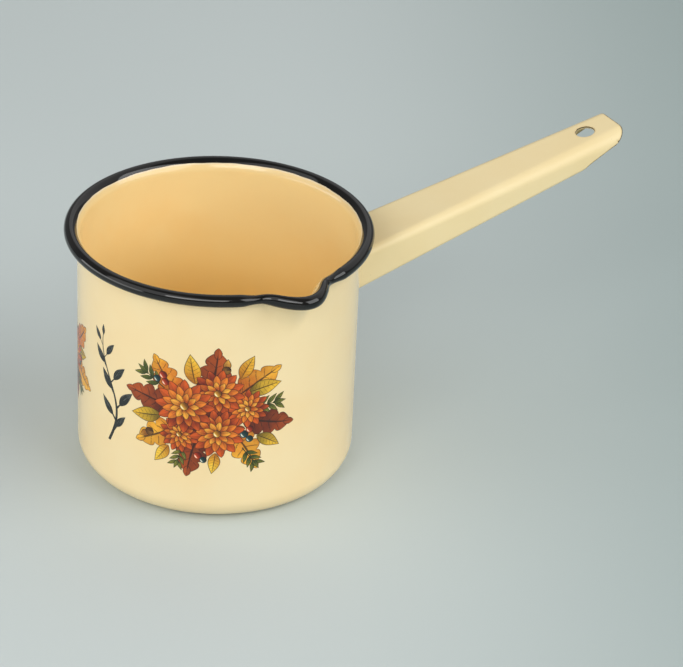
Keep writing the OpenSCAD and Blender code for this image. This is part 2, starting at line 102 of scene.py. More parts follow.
class Term:
    """A shader socket that can stand in a sum."""

    def __init__(self, tree: bpy.types.NodeTree, socket: bpy.types.NodeSocket) -> None:
        """Wraps an output socket.

        Args:
            tree: Node tree that the socket is in.
            socket: The output socket.
        """
        self.tree = tree
        self.socket = socket

    def work(self, operation: str, *values: "Term | float") -> "Term":
        """Adds a Math node.

        Args:
            operation: The node's operation.
            values: What goes into its sockets, in order.

        Returns:
            The node's result.
        """
        node = self.tree.nodes.new("ShaderNodeMath")
        node.operation = operation
        for socket, value in zip(node.inputs, values):
            if isinstance(value, Term):
                self.tree.links.new(value.socket, socket)
            else:
                socket.default_value = value
        return Term(self.tree, node.outputs[0])

    def __add__(self, other: "Term | float") -> "Term":
        """Returns the sum."""
        return self.work("ADD", self, other)

    __radd__ = __add__

    def __sub__(self, other: "Term | float") -> "Term":
        """Returns the difference."""
        return self.work("SUBTRACT", self, other)

    def __rsub__(self, other: float) -> "Term":
        """Returns a number less this term."""
        return self.work("SUBTRACT", other, self)

    def __mul__(self, other: "Term | float") -> "Term":
        """Returns the product."""
        return self.work("MULTIPLY", self, other)

    __rmul__ = __mul__

    def __truediv__(self, other: "Term | float") -> "Term":
        """Returns the quotient."""
        return self.work("DIVIDE", self, other)

    def __pow__(self, other: float) -> "Term":
        """Returns the power."""
        return self.work("POWER", self, other)

    def __abs__(self) -> "Term":
        """Returns the size without its sign."""
        return self.work("ABSOLUTE", self)

    def least(self, other: "Term | float") -> "Term":
        """Returns the lesser of the two."""
        return self.work("MINIMUM", self, other)

    def most(self, other: "Term | float") -> "Term":
        """Returns the greater of the two."""
        return self.work("MAXIMUM", self, other)

    def part(self) -> "Term":
        """Returns what is left over the whole number below."""
        return self.work("FRACT", self)

    def wave(self) -> "Term":
        """Returns the sine."""
        return self.work("SINE", self)

    def rise(self, start: float, end: float) -> "Term":
        """Climbs smoothly from 0 at start to 1 at end, or falls where end is the lesser.

        Args:
            start: Value at which the result is 0.
            end: Value at which the result is 1.

        Returns:
            The smoothed share.
        """
        node = self.tree.nodes.new("ShaderNodeMapRange")
        node.interpolation_type = "SMOOTHSTEP"
        node.inputs["From Min"].default_value = min(start, end)
        node.inputs["From Max"].default_value = max(start, end)
        node.inputs["To Min"].default_value = float(start > end)
        node.inputs["To Max"].default_value = float(start < end)
        self.tree.links.new(self.socket, node.inputs["Value"])
        return Term(self.tree, node.outputs["Result"])


Value = Term | float | Sequence[float]


class Recipe:
    """One material, written as a few expressions round a Principled shader."""

    def __init__(self, name: str, constants: dict[str, float | Colour]) -> None:
        """Starts the material.

        Args:
            name: Name of the material.
            constants: What is the same all over, by the shader's socket.
        """
        self.material = bpy.data.materials.new(name)
        self.material.use_nodes = True
        self.tree = self.material.node_tree
        self.tree.nodes.clear()
        self.shader = self.tree.nodes.new("ShaderNodeBsdfPrincipled")
        output = self.tree.nodes.new("ShaderNodeOutputMaterial")
        self.tree.links.new(self.shader.outputs[0], output.inputs["Surface"])
        for socket, value in constants.items():
            self.shader.inputs[socket].default_value = value

    def node(
        self, kind: str, settings: dict[str, object], inputs: dict[str | int, Value], output: str | int = 0
    ) -> Term:
        """Adds any other node.

        Args:
            kind: The node's type.
            settings: Its own settings, set first.
            inputs: Values or terms, by socket.
            output: The socket that is wanted.

        Returns:
            That output.
        """
        made = self.tree.nodes.new(kind)
        for name, value in settings.items():
            setattr(made, name, value)
        for socket, value in inputs.items():
            if isinstance(value, Term):
                self.tree.links.new(value.socket, made.inputs[socket])
            else:
                made.inputs[socket].default_value = value
        return Term(self.tree, made.outputs[output])

    def place(self) -> Term:
        """Returns the object coordinates in millimetres."""
        metres = self.node("ShaderNodeTexCoord", {}, {}, "Object")
        return self.node("ShaderNodeVectorMath", {"operation": "SCALE"}, {0: metres, "Scale": 1 / MM})

    def axes(self, vector: Term) -> tuple[Term, Term, Term]:
        """Splits a vector.

        Args:
            vector: The vector.

        Returns:
            Its three parts.
        """
        apart = self.tree.nodes.new("ShaderNodeSeparateXYZ")
        self.tree.links.new(vector.socket, apart.inputs[0])
        x, y, z = (Term(self.tree, output) for output in apart.outputs)
        return x, y, z

    def along(self, vector: Term, direction: Vector) -> Term:
        """Returns how far a vector reaches in a direction."""
        inputs = {0: vector, 1: tuple(direction)}
        return self.node("ShaderNodeVectorMath", {"operation": "DOT_PRODUCT"}, inputs, "Value")

    def mark(self, name: str) -> Term:
        """Returns a number that the mesh holds at each of its points."""
        return self.node("ShaderNodeAttribute", {"attribute_name": name}, {}, "Fac")

    def cloud(self, vector: Term, grain: float, detail: float) -> Term:
        """Returns soft noise between 0 and 1.

        Args:
            vector: Place, in millimetres.
            grain: Size of its patches, in millimetres.
            detail: Octaves of finer noise.

        Returns:
            The noise.
        """
        return self.node("ShaderNodeTexNoise", {}, {"Vector": vector, "Scale": 1 / grain, "Detail": detail})

    def specks(self, vector: Term, spacing: float, size: float, share: float) -> Term:
        """Returns small round specks, a few to each patch of the surface.

        Args:
            vector: Place, in millimetres.
            spacing: Size of the cells that may hold one, in millimetres.
            size: Radius of a speck, in millimetres.
            share: Share of the cells that hold one.

        Returns:
            1 on a speck and 0 off it.
        """
        cell = {"Vector": vector, "Scale": 1 / spacing}
        away = self.node("ShaderNodeTexVoronoi", {}, cell, "Distance")
        chance, _, _ = self.axes(self.node("ShaderNodeTexVoronoi", {}, cell, "Color"))
        return away.rise(size / spacing, size / spacing * 0.4) * chance.rise(share, share * 0.98)

    def blend(self, share: Term | float, first: Term | Colour, second: Term | Colour) -> Term:
        """Returns a colour that goes from the first to the second with the share."""
        return self.node("ShaderNodeMix", {"data_type": "RGBA"}, {0: share, 6: first, 7: second}, 2)

    def bump(self, height: Term, depth: float) -> Term:
        """Returns the normal of a surface that this height raises.

        Args:
            height: Height between 0 and 1.
            depth: What a height of 1 stands for, in millimetres.

        Returns:
            The normal.
        """
        inputs = {"Strength": 1.0, "Distance": depth * MM, "Height": height}
        return self.node("ShaderNodeBump", {}, inputs, "Normal")

    def finish(self, **varying: Term) -> bpy.types.Material:
        """Links what varies over the surface.

        Args:
            varying: Terms by the shader's socket, with an underscore for a space.

        Returns:
            The material.
        """
        for name, term in varying.items():
            self.tree.links.new(term.socket, self.shader.inputs[name.replace("_", " ")])
        return self.material


@dataclass(frozen=True)
class Enamel:
    """Fired glass coat on the bowl: faint clouds in its colour, orange peel, and a few dark specks."""

    name: str
    colour: Colour
    deep: Colour
    speck: Colour = tone("6E5433")
    gloss: float = 0.12
    peel: float = 0.011

    def base(self, recipe: Recipe, place: Term) -> tuple[Term, Term, Term]:
        """Writes what every enamel has.

        Args:
            recipe: Material being written.
            place: Place, in millimetres.

        Returns:
            Colour, roughness and height of the peel.
        """
        pool = recipe.cloud(place, 34.0, 3.0)
        grain = recipe.cloud(place, 2.2, 2.0)
        colour = recipe.blend(pool.rise(0.35, 0.75) * 0.5 + grain * 0.12, self.colour, self.deep)
        colour = recipe.blend(recipe.specks(place, 9.0, 0.16, 0.16) * 0.75, colour, self.speck)
        rough = self.gloss + recipe.cloud(place, 12.0, 2.0) * 0.06
        height = recipe.cloud(place, 3.6, 1.0) + recipe.cloud(place, 11.0, 1.0) * 1.6
        return colour, rough, height

    def material(self) -> bpy.types.Material:
        """Returns the finished material."""
        recipe = Recipe(self.name, {"IOR": 1.52})
        colour, rough, height = self.base(recipe, recipe.place())
        return recipe.finish(Base_Color=colour, Roughness=rough, Normal=recipe.bump(height, self.peel))


@dataclass(frozen=True)
class ShadedInsideEnamel(Enamel):
    """The bowl's inside coat, with painted shade towards the base and over the flare, and a painted glint
    along the edge of its coat.
    """

    # Painted shade: the tone and the span of heights over which the coat deepens towards the base.
    low: Colour = tone("F5CD6F")
    span: Flat = (112.0, 18.0)
    # Painted shade over the upturned flare near the coat's edge, and its width.
    flare: Colour = tone("EACF94")
    flare_shade_w: float = 5.0
    # Painted glint along the black coat's edge, and its width.
    edge_glint: Colour = tone("E2D6BA")
    edge_glint_w: float = 0.95

    def base(self, recipe: Recipe, place: Term) -> tuple[Term, Term, Term]:
        """Writes the coat, with its colour led by height and by the distance to its edge.

        Args:
            recipe: Material being written.
            place: Place, in millimetres.

        Returns:
            Colour, roughness and height of the peel.
        """
        colour, rough, height = super().base(recipe, place)
        _, _, up = recipe.axes(place)
        # Painted shade: the coat deepens towards the base, where less of the room's light reaches.
        colour = recipe.blend(up.rise(*self.span) * 0.85, colour, self.low)
        edge = recipe.mark("edge")
        # Painted shade: a deeper tone over the flare near the coat's edge, where the lamps light it more.
        colour = recipe.blend(edge.rise(self.flare_shade_w, self.flare_shade_w * 0.3), colour, self.flare)
        # Painted glint: a pale, broken band just under the black coat's edge.
        edge_glint = (edge + (recipe.cloud(place, 1.1, 2.0) - 0.5) * 0.7).rise(self.edge_glint_w, self.edge_glint_w * 0.4)
        return recipe.blend(edge_glint * 0.7, colour, self.edge_glint), rough, height


@dataclass(frozen=True)
class BaseEnamel(Enamel):
    """The bowl's outside coat, with the marks of the pins that it stood on in the kiln."""

    pin_r: float = 48.0
    pin_size: float = 1.1
    pin_turns: tuple[float, ...] = (30.0, 150.0, 270.0)

    def material(self) -> bpy.types.Material:
        """Returns the finished material."""
        recipe = Recipe(self.name, {"IOR": 1.52})
        place = recipe.place()
        colour, rough, height = self.base(recipe, place)
        away: Term | None = None
        for turn in self.pin_turns:
            spot = (*polar((0, 0), turn, self.pin_r), 0.0)
            gap = recipe.node("ShaderNodeVectorMath", {"operation": "DISTANCE"}, {0: place, 1: spot}, "Value")
            away = gap if away is None else away.least(gap)
        edge = away + recipe.cloud(place, 0.7, 2.0) * 0.6
        halo = edge.rise(self.pin_size * 2.2, self.pin_size * 1.2)
        scar = edge.rise(self.pin_size * 1.15, self.pin_size * 0.95)
        colour = recipe.blend(halo * 0.55, colour, tone("A58A5C"))
        colour = recipe.blend(scar, colour, tone("3A332C"))
        height = height - scar * 9.0
        return recipe.finish(
            Base_Color=colour, Roughness=rough + scar * 0.5, Normal=recipe.bump(height, self.peel)
        )


@dataclass(frozen=True, kw_only=True)
class EdgedEnamel(Enamel):
    """The handle's coat, which the kiln thins and browns along each cut edge of the folded sheet."""

    handle: "Handle"
    gloss: float = 0.3
    burnt: Colour = tone("33291A")
    line: float = 0.5
    hole_in: float = 0.28
    hole_deep: float = 0.45

    def margin(self, recipe: Recipe, place: Term) -> Term:
        """Works out the distance to the nearest cut edge.

        Args:
            recipe: Material being written.
            place: Place, in millimetres.

        Returns:
            The distance, in millimetres.
        """
        h = self.handle
        inputs = {0: place, 1: tuple(h.world(0, 0, 0))}
        local = recipe.node("ShaderNodeVectorMath", {"operation": "SUBTRACT"}, inputs)
        s = recipe.along(local, h.ahead)
        _, y, _ = recipe.axes(local)
        z = recipe.along(local, h.out)
        side = abs(y)
        beyond = s - (h.length - h.corner_r)
        past = beyond.most(0.0)
        wide = (side - h.corner_y).most(0.0)
        away = (past * past + wide * wide) ** 0.5
        flat = (z / h.shoulders[1] + 1.0).most(0.0)
        lean = (((past * past + (wide * flat) ** 2) ** 0.5 + 0.01) / (away + 0.01)).most(0.1)
        plan = ((h.corner_r - away) / lean).most(0.0 - beyond)
        over, under = (
            ((z + h.kink) - (s - (h.length - h.trim_len)) * slope) / math.hypot(1, slope)
            for slope in h.slopes.values()
        )
        trim = over.most(under)
        from_hole = s - (h.length - h.hole_in)
        hole = (from_hole * from_hole + y * y) ** 0.5 - (h.hole_r - self.hole_in)
        hole = hole.most(abs(z + self.hole_deep) * 1.6)
        taper = (h.depths[0] - h.depths[1]) / h.length
        seam = (side - h.seam / 2).most(z + h.depths[0] - s * taper - h.fold_r)
        return plan.least(trim).least(hole).least(seam)

    def material(self) -> bpy.types.Material:
        """Returns the finished material."""
        recipe = Recipe(self.name, {"IOR": 1.52, "Specular IOR Level": 0.28})
        place = recipe.place()
        colour, rough, height = self.base(recipe, place)
        margin = self.margin(recipe, place) + (recipe.cloud(place, 1.6, 3.0) - 0.5) * 0.5
        halo = margin.rise(self.line * 2.6, self.line * 0.9)
        bare = margin.rise(self.line * 1.15, self.line * 0.7)
        colour = recipe.blend(halo * 0.35, colour, tone("B79A62"))
        colour = recipe.blend(bare * 0.94, colour, self.burnt)
        return recipe.finish(
            Base_Color=colour, Roughness=rough + bare * 0.25, Normal=recipe.bump(height, self.peel)
        )


@dataclass(frozen=True)
class RimEnamel:
    """Black coat of the rolled rim, a little brown where the coat is thinner."""

    name: str = "black_rim_enamel"

    def material(self) -> bpy.types.Material:
        """Returns the finished material."""
        recipe = Recipe(self.name, {"IOR": 1.52, "Specular IOR Level": 0.5})
        place = recipe.place()
        pool = recipe.cloud(place, 9.0, 3.0)
        colour = recipe.blend(pool.rise(0.4, 0.8), tone("060605"), tone("110F0C"))
        colour = recipe.blend(recipe.specks(place, 5.0, 0.14, 0.12) * 0.5, colour, tone("6A6257"))
        rough = 0.04 + recipe.cloud(place, 6.0, 2.0) * 0.07
        height = recipe.cloud(place, 2.6, 1.0) + recipe.cloud(place, 8.0, 1.0) * 1.8
        return recipe.finish(Base_Color=colour, Roughness=rough, Normal=recipe.bump(height, 0.016))


@dataclass(frozen=True)
class Steel:
    """Bare sheet steel as the kiln leaves it: grey-brown scale over drawn metal."""

    name: str
    bright: Colour
    scale: Colour
    cover: float

    def material(self) -> bpy.types.Material:
        """Returns the finished material."""
        recipe = Recipe(self.name, {"Specular IOR Level": 0.5})
        place = recipe.place()
        patch = recipe.cloud(place, 5.0, 4.0)
        scaled = (patch + self.cover - 0.5).rise(0.35, 0.65)
        grain = recipe.cloud(place, 0.6, 3.0)
        colour = recipe.blend(scaled * 0.9 + grain * 0.1, self.bright, self.scale)
        rough = 0.32 + scaled * 0.35 + grain * 0.08
        height = recipe.cloud(place, 0.9, 3.0) + scaled * 0.6
        return recipe.finish(
            Base_Color=colour, Metallic=1.0 - scaled * 0.75, Roughness=rough, Normal=recipe.bump(height, 0.02)
        )


class Stroke(Enum):
    """How a printed motif is drawn inside its outline."""

    FEATHER = "midrib with side veins"
    PETAL = "fine lines from the foot"
    ROUND = "shaded ball with a glint"
    CHECK = "crossed lines"
    BRUSH = "dry brush ink"


@dataclass(frozen=True)
class Print:
    """Fired print of one kind of motif: a wash between two colours, inked lines and an inked outline."""

    name: str
    foot: Colour
    tip: Colour
    deep: Colour
    ink: Colour
    stroke: Stroke
    veins: float
    outline: float = 0.26

    def material(self) -> bpy.types.Material:
        """Returns the finished material."""
        recipe = Recipe(self.name, {"IOR": 1.5})
        place = recipe.place()
        across_up = recipe.node("ShaderNodeTexCoord", {}, {}, "UV")
        u, v, _ = recipe.axes(across_up)
        side = abs(v * 2.0 - 1.0)
        shade, margin = recipe.mark("shade"), recipe.mark("margin")
        wash = recipe.cloud(place, 4.5, 3.0)
        grain = recipe.cloud(place, 0.7, 2.0)
        wobble = (recipe.cloud(place, 1.3, 2.0) - 0.5) * 0.2
        if self.stroke is Stroke.BRUSH:
            streak = recipe.cloud(recipe.node(
                "ShaderNodeCombineXYZ", {}, {0: u * 6.0, 1: v * 16.0, 2: shade * 9.0}
            ), 2.0, 3.0)
            dry = (streak + u * 0.25).rise(0.62, 0.78)
            colour = recipe.blend(wash.rise(0.3, 0.7), self.foot, self.deep)
            colour = recipe.blend(dry * 0.5, colour, self.tip)
            return recipe.finish(Base_Color=colour, Roughness=0.2 + dry * 0.2)
        if self.stroke is Stroke.ROUND:
            lit = (u * 6.2832 - 2.2).wave() * v
            colour = recipe.blend((lit * 0.5 + 0.45 + wash * 0.2).rise(0.2, 0.95), self.deep, self.foot)
            colour = recipe.blend((lit + grain * 0.1).rise(0.2, 0.75) * 0.8, colour, self.tip)
            glint = lit.rise(0.4, 0.55) * v.rise(0.78, 0.66)
            colour = recipe.blend(glint * 0.85, colour, tone("FFF3D6"))
            lines = None
        else:
            flow = (u * 0.95 + (wash - 0.5) * 0.9 + (shade - 0.5) * 0.5).rise(0.1, 0.9)
            colour = recipe.blend(flow, self.foot, self.tip)
            half = v.rise(0.46, 0.56) * 0.28 + u.rise(0.42, 0.0) * 0.55 + side.rise(0.55, 1.05) * 0.2
            colour = recipe.blend((half + (grain - 0.5) * 0.25).most(0.0), colour, self.deep)
            lines = self.lines(u, v, side, grain)
        inked = (margin + wobble).rise(self.outline * 1.45, self.outline * 0.6)
        inked = inked if lines is None else lines.most(inked).least(1.0)
        colour = recipe.blend(inked * 0.92, colour, self.ink)
        return recipe.finish(Base_Color=colour, Roughness=0.16 + grain * 0.12)

    def lines(self, u: Term, v: Term, side: Term, grain: Term) -> Term:
        """Draws the inked lines inside a motif.

        Args:
            u: Share of the way from foot to tip.
            v: Share of the way across.
            side: Distance from the midrib, as a share of the half width.
            grain: Fine noise that breaks the lines.

        Returns:
            1 on a line and 0 off it.
        """
        broken = grain.rise(0.3, 0.5)
        if self.stroke is Stroke.FEATHER:
            rib = side.rise(0.11, 0.03) * u.rise(0.99, 0.8)
            slant = abs((u * self.veins - side * 0.9).part() - 0.5)
            barbs = slant.rise(0.1, 0.03) * side.rise(0.95, 0.6) * broken
            between = abs((u * self.veins * 3.0 - side * 2.4).part() - 0.5)
            hatch = between.rise(0.16, 0.06) * u.rise(0.5, 0.15) * v.rise(0.4, 0.6) * broken
            return rib.most(barbs * 0.75).most(hatch * 0.5)
        if self.stroke is Stroke.PETAL:
            comb = abs((v * self.veins).part() - 0.5)
            near = comb.rise(0.22, 0.06) * u.rise(0.75, 0.2) * broken
            return near * 0.7
        cross = abs(((u + v) * self.veins).part() - 0.5).least(abs(((u - v) * self.veins).part() - 0.5))
        return cross.rise(0.14, 0.04) * 0.8


@dataclass(frozen=True)
class Ground:
    """Pale grey paper under and behind the pan, with painted shade towards the camera's right."""

    name: str = "studio_paper"

    def material(self) -> bpy.types.Material:
        """Returns the finished material."""
        recipe = Recipe(self.name, {"Specular IOR Level": 0.25})
        place = recipe.place()
        wide = recipe.cloud(place, 600.0, 1.0)
        fibre = recipe.cloud(place, 1.5, 3.0)
        # Painted shade: the paper darkens towards +X and -Y, the camera's right, where the light falls off.
        away = recipe.along(place, Vector((0.87, -0.49, 0)))
        colour = recipe.blend(away.rise(0.0, 360.0), tone("C9D2D1"), tone("9FAEAC"))
        colour = recipe.blend(wide.rise(0.3, 0.7) * 0.06 + fibre * 0.03, colour, tone("8E9C9A"))
        return recipe.finish(
            Base_Color=colour, Roughness=0.62 + fibre * 0.1, Normal=recipe.bump(fibre, 0.02)
        )


class Bench:
    """Moves made by hand on one mesh at a time."""

    MERGE = 0.002
    DRILL = 8.0

    @staticmethod
    def clear() -> None:
        """Deselects every object."""
        bpy.ops.object.select_all(action="DESELECT")

    @staticmethod
    def hold(piece: bpy.types.Object) -> None:
        """Makes one object the only selected one and the active one."""
        Bench.clear()
        piece.select_set(True)
        bpy.context.view_layer.objects.active = piece

    @staticmethod
    def pick(piece: bpy.types.Object, test: Callable[[Vector], bool]) -> None:
        """Goes into edit mode with the vertices selected whose place passes a test.

        Args:
            piece: Object to edit.
            test: Says of a place, in millimetres, whether it is wanted.
        """
        Bench.hold(piece)
        bpy.ops.object.mode_set(mode="EDIT")
        bpy.ops.mesh.select_mode(type="VERT")
        bpy.ops.mesh.select_all(action="DESELECT")
        bpy.ops.object.mode_set(mode="OBJECT")
        for vertex in piece.data.vertices:
            vertex.select = test(vertex.co / MM)
        bpy.ops.object.mode_set(mode="EDIT")

    @staticmethod
    def line(name: str, points: Sequence[Flat], closed: bool) -> bpy.types.Object:
        """Draws a chain of edges upright over the X axis, by extruding one corner of a small square.

        Args:
            name: Name of the object.
            points: Radius and height of each point.
            closed: Whether the last point is joined to the first.

        Returns:
            The object, in edit mode and selected all over.
        """
        Bench.clear()
        first = Vector((points[0][0], 0, points[0][1]))
        bpy.ops.mesh.primitive_plane_add(size=MM, location=(first + Vector((0.5, 0.5, 0))) * MM)
        piece = bpy.context.object
        piece.name = piece.data.name = name
        bpy.ops.object.transform_apply(location=True)
        Bench.pick(piece, lambda place: (place - first).length > 0.5)
        bpy.ops.mesh.delete(type="VERT")
        bpy.ops.mesh.select_all(action="SELECT")
        for last, new in zip(points, points[1:]):
            step = Vector((new[0] - last[0], 0, new[1] - last[1])) * MM
            bpy.ops.mesh.extrude_vertices_move(TRANSFORM_OT_translate={"value": step})
        if closed:
            ends = (first, Vector((points[-1][0], 0, points[-1][1])))
            bpy.ops.object.mode_set(mode="OBJECT")
            Bench.pick(piece, lambda place: min((place - end).length for end in ends) < 0.001)
            bpy.ops.mesh.edge_face_add()
        bpy.ops.mesh.select_all(action="SELECT")
        return piece

    @staticmethod
    def spun(name: str, points: Sequence[Flat], closed: bool, steps: int) -> bpy.types.Object:
        """Spins a drawn chain once round the Z axis and closes its seam and poles.

        Args:
            name: Name of the object.
            points: Radius and height of each point.
            closed: Whether the chain is a loop.
            steps: Number of steps in the round.

        Returns:
            The object, in object mode.
        """
        piece = Bench.line(name, points, closed)
        bpy.ops.mesh.spin(
            steps=steps, angle=2 * math.pi, center=(0, 0, 0), axis=(0, 0, 1), use_auto_merge=True
        )
        bpy.ops.object.mode_set(mode="OBJECT")
        Bench.close(piece, Bench.MERGE)
        return piece

    @staticmethod
    def grid(name: str, columns: int, rows: int) -> bpy.types.Object:
        """Adds a flat grid, two millimetres square, with its own UV map.

        Args:
            name: Name of the object.
            columns: Number of faces along X.
            rows: Number of faces along Y.

        Returns:
            The object.
        """
        Bench.clear()
        bpy.ops.mesh.primitive_grid_add(x_subdivisions=columns, y_subdivisions=rows, size=2 * MM)
        piece = bpy.context.object
        piece.name = piece.data.name = name
        return piece

    @staticmethod
    def lay(piece: bpy.types.Object, columns: int, rows: int, law: Law) -> None:
        """Moves each corner of a grid to where a law wants it.

        Args:
            piece: The grid.
            columns: Number of faces along X.
            rows: Number of faces along Y.
            law: Gives the place, in millimetres, of a column's and a row's crossing.
        """
        for vertex in piece.data.vertices:
            i = round((vertex.co.x / MM + 1) / 2 * columns)
            j = round((vertex.co.y / MM + 1) / 2 * rows)
            vertex.co = law(i, j) * MM

    @staticmethod
    def close(piece: bpy.types.Object, gap: float) -> None:
        """Merges what meets, turns the faces outwards and leaves edit mode.

        Args:
            piece: Object to close.
            gap: Distance under which two vertices are one, in millimetres.
        """
        Bench.pick(piece, lambda place: True)
        bpy.ops.mesh.remove_doubles(threshold=gap * MM)
        bpy.ops.mesh.normals_make_consistent(inside=False)
        bpy.ops.object.mode_set(mode="OBJECT")

    @staticmethod
    def note(piece: bpy.types.Object, name: str, values: Sequence[float]) -> None:
        """Stores a number at each point of a mesh, for its material to read."""
        piece.data.attributes.new(name, "FLOAT", "POINT").data.foreach_set("value", values)

    @staticmethod
    def smooth(piece: bpy.types.Object, angle: float) -> None:
        """Shades a piece smooth across edges that turn by less than an angle, in degrees."""
        Bench.hold(piece)
        bpy.ops.object.shade_smooth_by_angle(angle=math.radians(angle))

    @staticmethod
    def bore(piece: bpy.types.Object, middle: Vector, axis: Vector, radius: float) -> None:
        """Drills a round hole.

        Args:
            piece: Object to drill.
            middle: A place on the hole's axis, in millimetres.
            axis: Direction of the hole.
            radius: Its radius, in millimetres.
        """
        Bench.clear()
        bpy.ops.mesh.primitive_cylinder_add(vertices=96, radius=radius * MM, depth=Bench.DRILL * MM)
        drill = bpy.context.object
        turn = axis.to_track_quat("Z", "Y").to_matrix().to_4x4()
        drill.matrix_world = Matrix.Translation(middle * MM) @ turn
        Bench.hold(piece)
        cut = piece.modifiers.new("bore", "BOOLEAN")
        cut.operation = "DIFFERENCE"
        cut.solver = "EXACT"
        cut.object = drill
        bpy.ops.object.modifier_apply(modifier=cut.name)
        bpy.data.objects.remove(drill)

    @staticmethod
    def join(name: str, pieces: Sequence[bpy.types.Object]) -> bpy.types.Object:
        """Joins pieces into one.

        Args:
            name: Name of the whole.
            pieces: What to join.

        Returns:
            The whole.
        """
        Bench.hold(pieces[0])
        for piece in pieces:
            piece.select_set(True)
        bpy.ops.object.join()
        whole = bpy.context.view_layer.objects.active
        whole.name = whole.data.name = name
        return whole

    @staticmethod
    def dress(piece: bpy.types.Object, material: bpy.types.Material, slot: str, *nodes: str) -> None:
        """Gives a piece its material and its body, and hides the CAD nodes that it stands for.

        Args:
            piece: The finished piece.
            material: Its material.
            slot: The record's material slot; not used.
            nodes: CAD nodes that it replaces.
        """
        piece.data.materials.clear()
        piece.data.materials.append(material)
        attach(piece, "root")
        if nodes:
            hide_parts(*nodes)
        log.info("%s: %d faces", piece.name, len(piece.data.polygons))


@dataclass
class Bowl:
    """The drawn bowl: its inside coat, its outside coat and the black coat of its rolled rim."""

    wall_r: float = WALL_R
    height: float = 121.8
    corner_r: float = 12.4
    steel_t: float = STEEL_T
    coat_t: float = COAT_T
    base_flat: float = 9.0
    ring_w: float = 10.0
    ring_h: float = 1.0
    bead_r: float = 2.84
    bead_out: float = 4.6
    flare_h: float = 3.9
    curl_gap: float = 0.25
    black_in: float = 1.6
    lip_turn: float = -87.0
    lip_w: float = 36.6
    lip_out: float = 10.5
    lip_drop: float = 20.0
    lip_power: float = 2.1
    lip_swell: float = 0.1
    pinch_at: float = 1.06
    pinch_half: float = 0.45
    pinch_deep: float = 0.29
    round_t: float = 2.0
    steps: int = 480

    @property
    def wall_t(self) -> float:
        """Thickness of the wall with both coats."""
        return self.steel_t + 2 * self.coat_t

    @property
    def inner_r(self) -> float:
        """Radius of the inside face."""
        return self.wall_r - self.wall_t

    @property
    def bead_z(self) -> float:
        """Height of the bead's centre."""
        return self.height - self.bead_r

    @property
    def lip_half(self) -> float:
        """Half of the lip's width, in degrees round the rim."""
        return math.degrees(self.lip_w / 2 / (self.inner_r + self.bead_out))

    def bell(self, t: float) -> float:
        """Returns the share of the lip's reach at t, which is 1 at the end of its half width."""
        return (1 - t * t) ** self.lip_power if abs(t) < 1 else 0.0

    def pinch(self, t: float) -> float:
        """Returns the share of the bead's pinch at t."""
        v = (abs(t) - self.pinch_at) / self.pinch_half
        return (1 - v * v) ** 2 if abs(v) < 1 else 0.0

    def curl(self, t: float) -> dict[str, float]:
        """Works out the flare and the bead at t.

        Args:
            t: Angle from the lip's middle, in half widths.

        Returns:
            Reach x and rise d of the bead's centre, bead radius r, flare radius f, and the angles at which
            the flare joins the bead, the curl ends, the flare faces that end, and the black coat starts.
        """
        x = self.bead_out + self.lip_out * self.bell(t)
        d = self.flare_h + self.lip_drop * self.bell(t)
        r = self.bead_r * (1 - self.pinch_deep * self.pinch(t) + self.lip_swell * self.bell(t))
        f = (x * x + d * d - r * r) / (2 * (x - r))
        c = f - r
        w = f - self.wall_t - self.curl_gap
        join = math.degrees(math.acos((x - f) / c))
        end = join - 360 + math.degrees(math.acos((w * w - c * c - r * r) / (2 * r * c)))
        over = x - f + r * math.cos(math.radians(end))
        up = d + r * math.sin(math.radians(end))
        return {
            "x": x, "d": d, "r": r, "f": f, "join": join, "end": end,
            "facing": math.degrees(math.atan2(up, over)),
            "black": join + math.degrees(self.black_in / f),
        }

    def foot(self, k: float) -> list[Flat]:
        """Lists a layer's section from the axis to the foot of the wall.

        Args:
            k: Depth of the layer, from the inside face outwards.

        Returns:
            Radius and height of each point.
        """
        flat_r = self.wall_r - self.corner_r
        ring_r = flat_r - self.base_flat - self.ring_w / 2
        points = [(0.0, self.wall_t - k), (ring_r / 2, self.wall_t - k)]
        for i in range(25):
            x = i / 12 - 1
            points.append((ring_r + x * self.ring_w / 2, self.wall_t - k + self.ring_h * (1 - x * x) ** 2))
        points.append((flat_r - self.base_flat / 2, self.wall_t - k))
        return points + arc((flat_r, self.corner_r), self.corner_r - self.wall_t + k, -90, 0, 16)

    def flare(self, t: float, k: float, start: float, end: float, steps: int) -> list[Flat]:
        """Lists points of a layer on the flare, between two angles."""
        c = self.curl(t)
        return arc((self.inner_r + c["f"], self.bead_z - c["d"]), c["f"] - k, start, end, steps)

    def bead(self, t: float, k: float, start: float, end: float, steps: int) -> list[Flat]:
        """Lists points of a layer on the bead, between two angles."""
        c = self.curl(t)
        return arc((self.inner_r + c["x"], self.bead_z), c["r"] - k, start, end, steps)

    def waver(self, turn: float) -> float:
        """Returns how far the black coat's lower edge strays at a direction, in millimetres."""
        a = math.radians(turn)
        return 0.1 * math.sin(7 * a + 1) + 0.07 * math.sin(17 * a) + 0.05 * math.sin(41 * a + 2)

    def pooled(self, t: float, end: float, steps: int) -> list[Flat]:
        """Lists points of the inside face on the flare, where the coat has pooled and bends in gently.

        Args:
            t: Angle from the lip's middle, in half widths.
            end: Angle at which the flare's coat ends.
            steps: Number of chords.

        Returns:
            The points, which leave the plain flare only away from the lip.
        """
        plain = self.flare(t, 0, 180, end, steps)
        c = self.curl(t)
        first, last = plain[0], plain[-1]
        reach = c["f"] * math.tan(math.radians(180 - end) / 2)
        share = (1 - self.bell(t)) ** 4
        points = []
        for i, (out, up) in enumerate(plain):
            u = i / steps
            eased_out = mix(first[0], last[0], u**3)
            eased_up = mix(first[1], last[1], u**3) + reach * 3 * u * (1 - u) * mix(0.6, 1, u)
            points.append((mix(out, eased_out, share), mix(up, eased_up, share)))
        return points

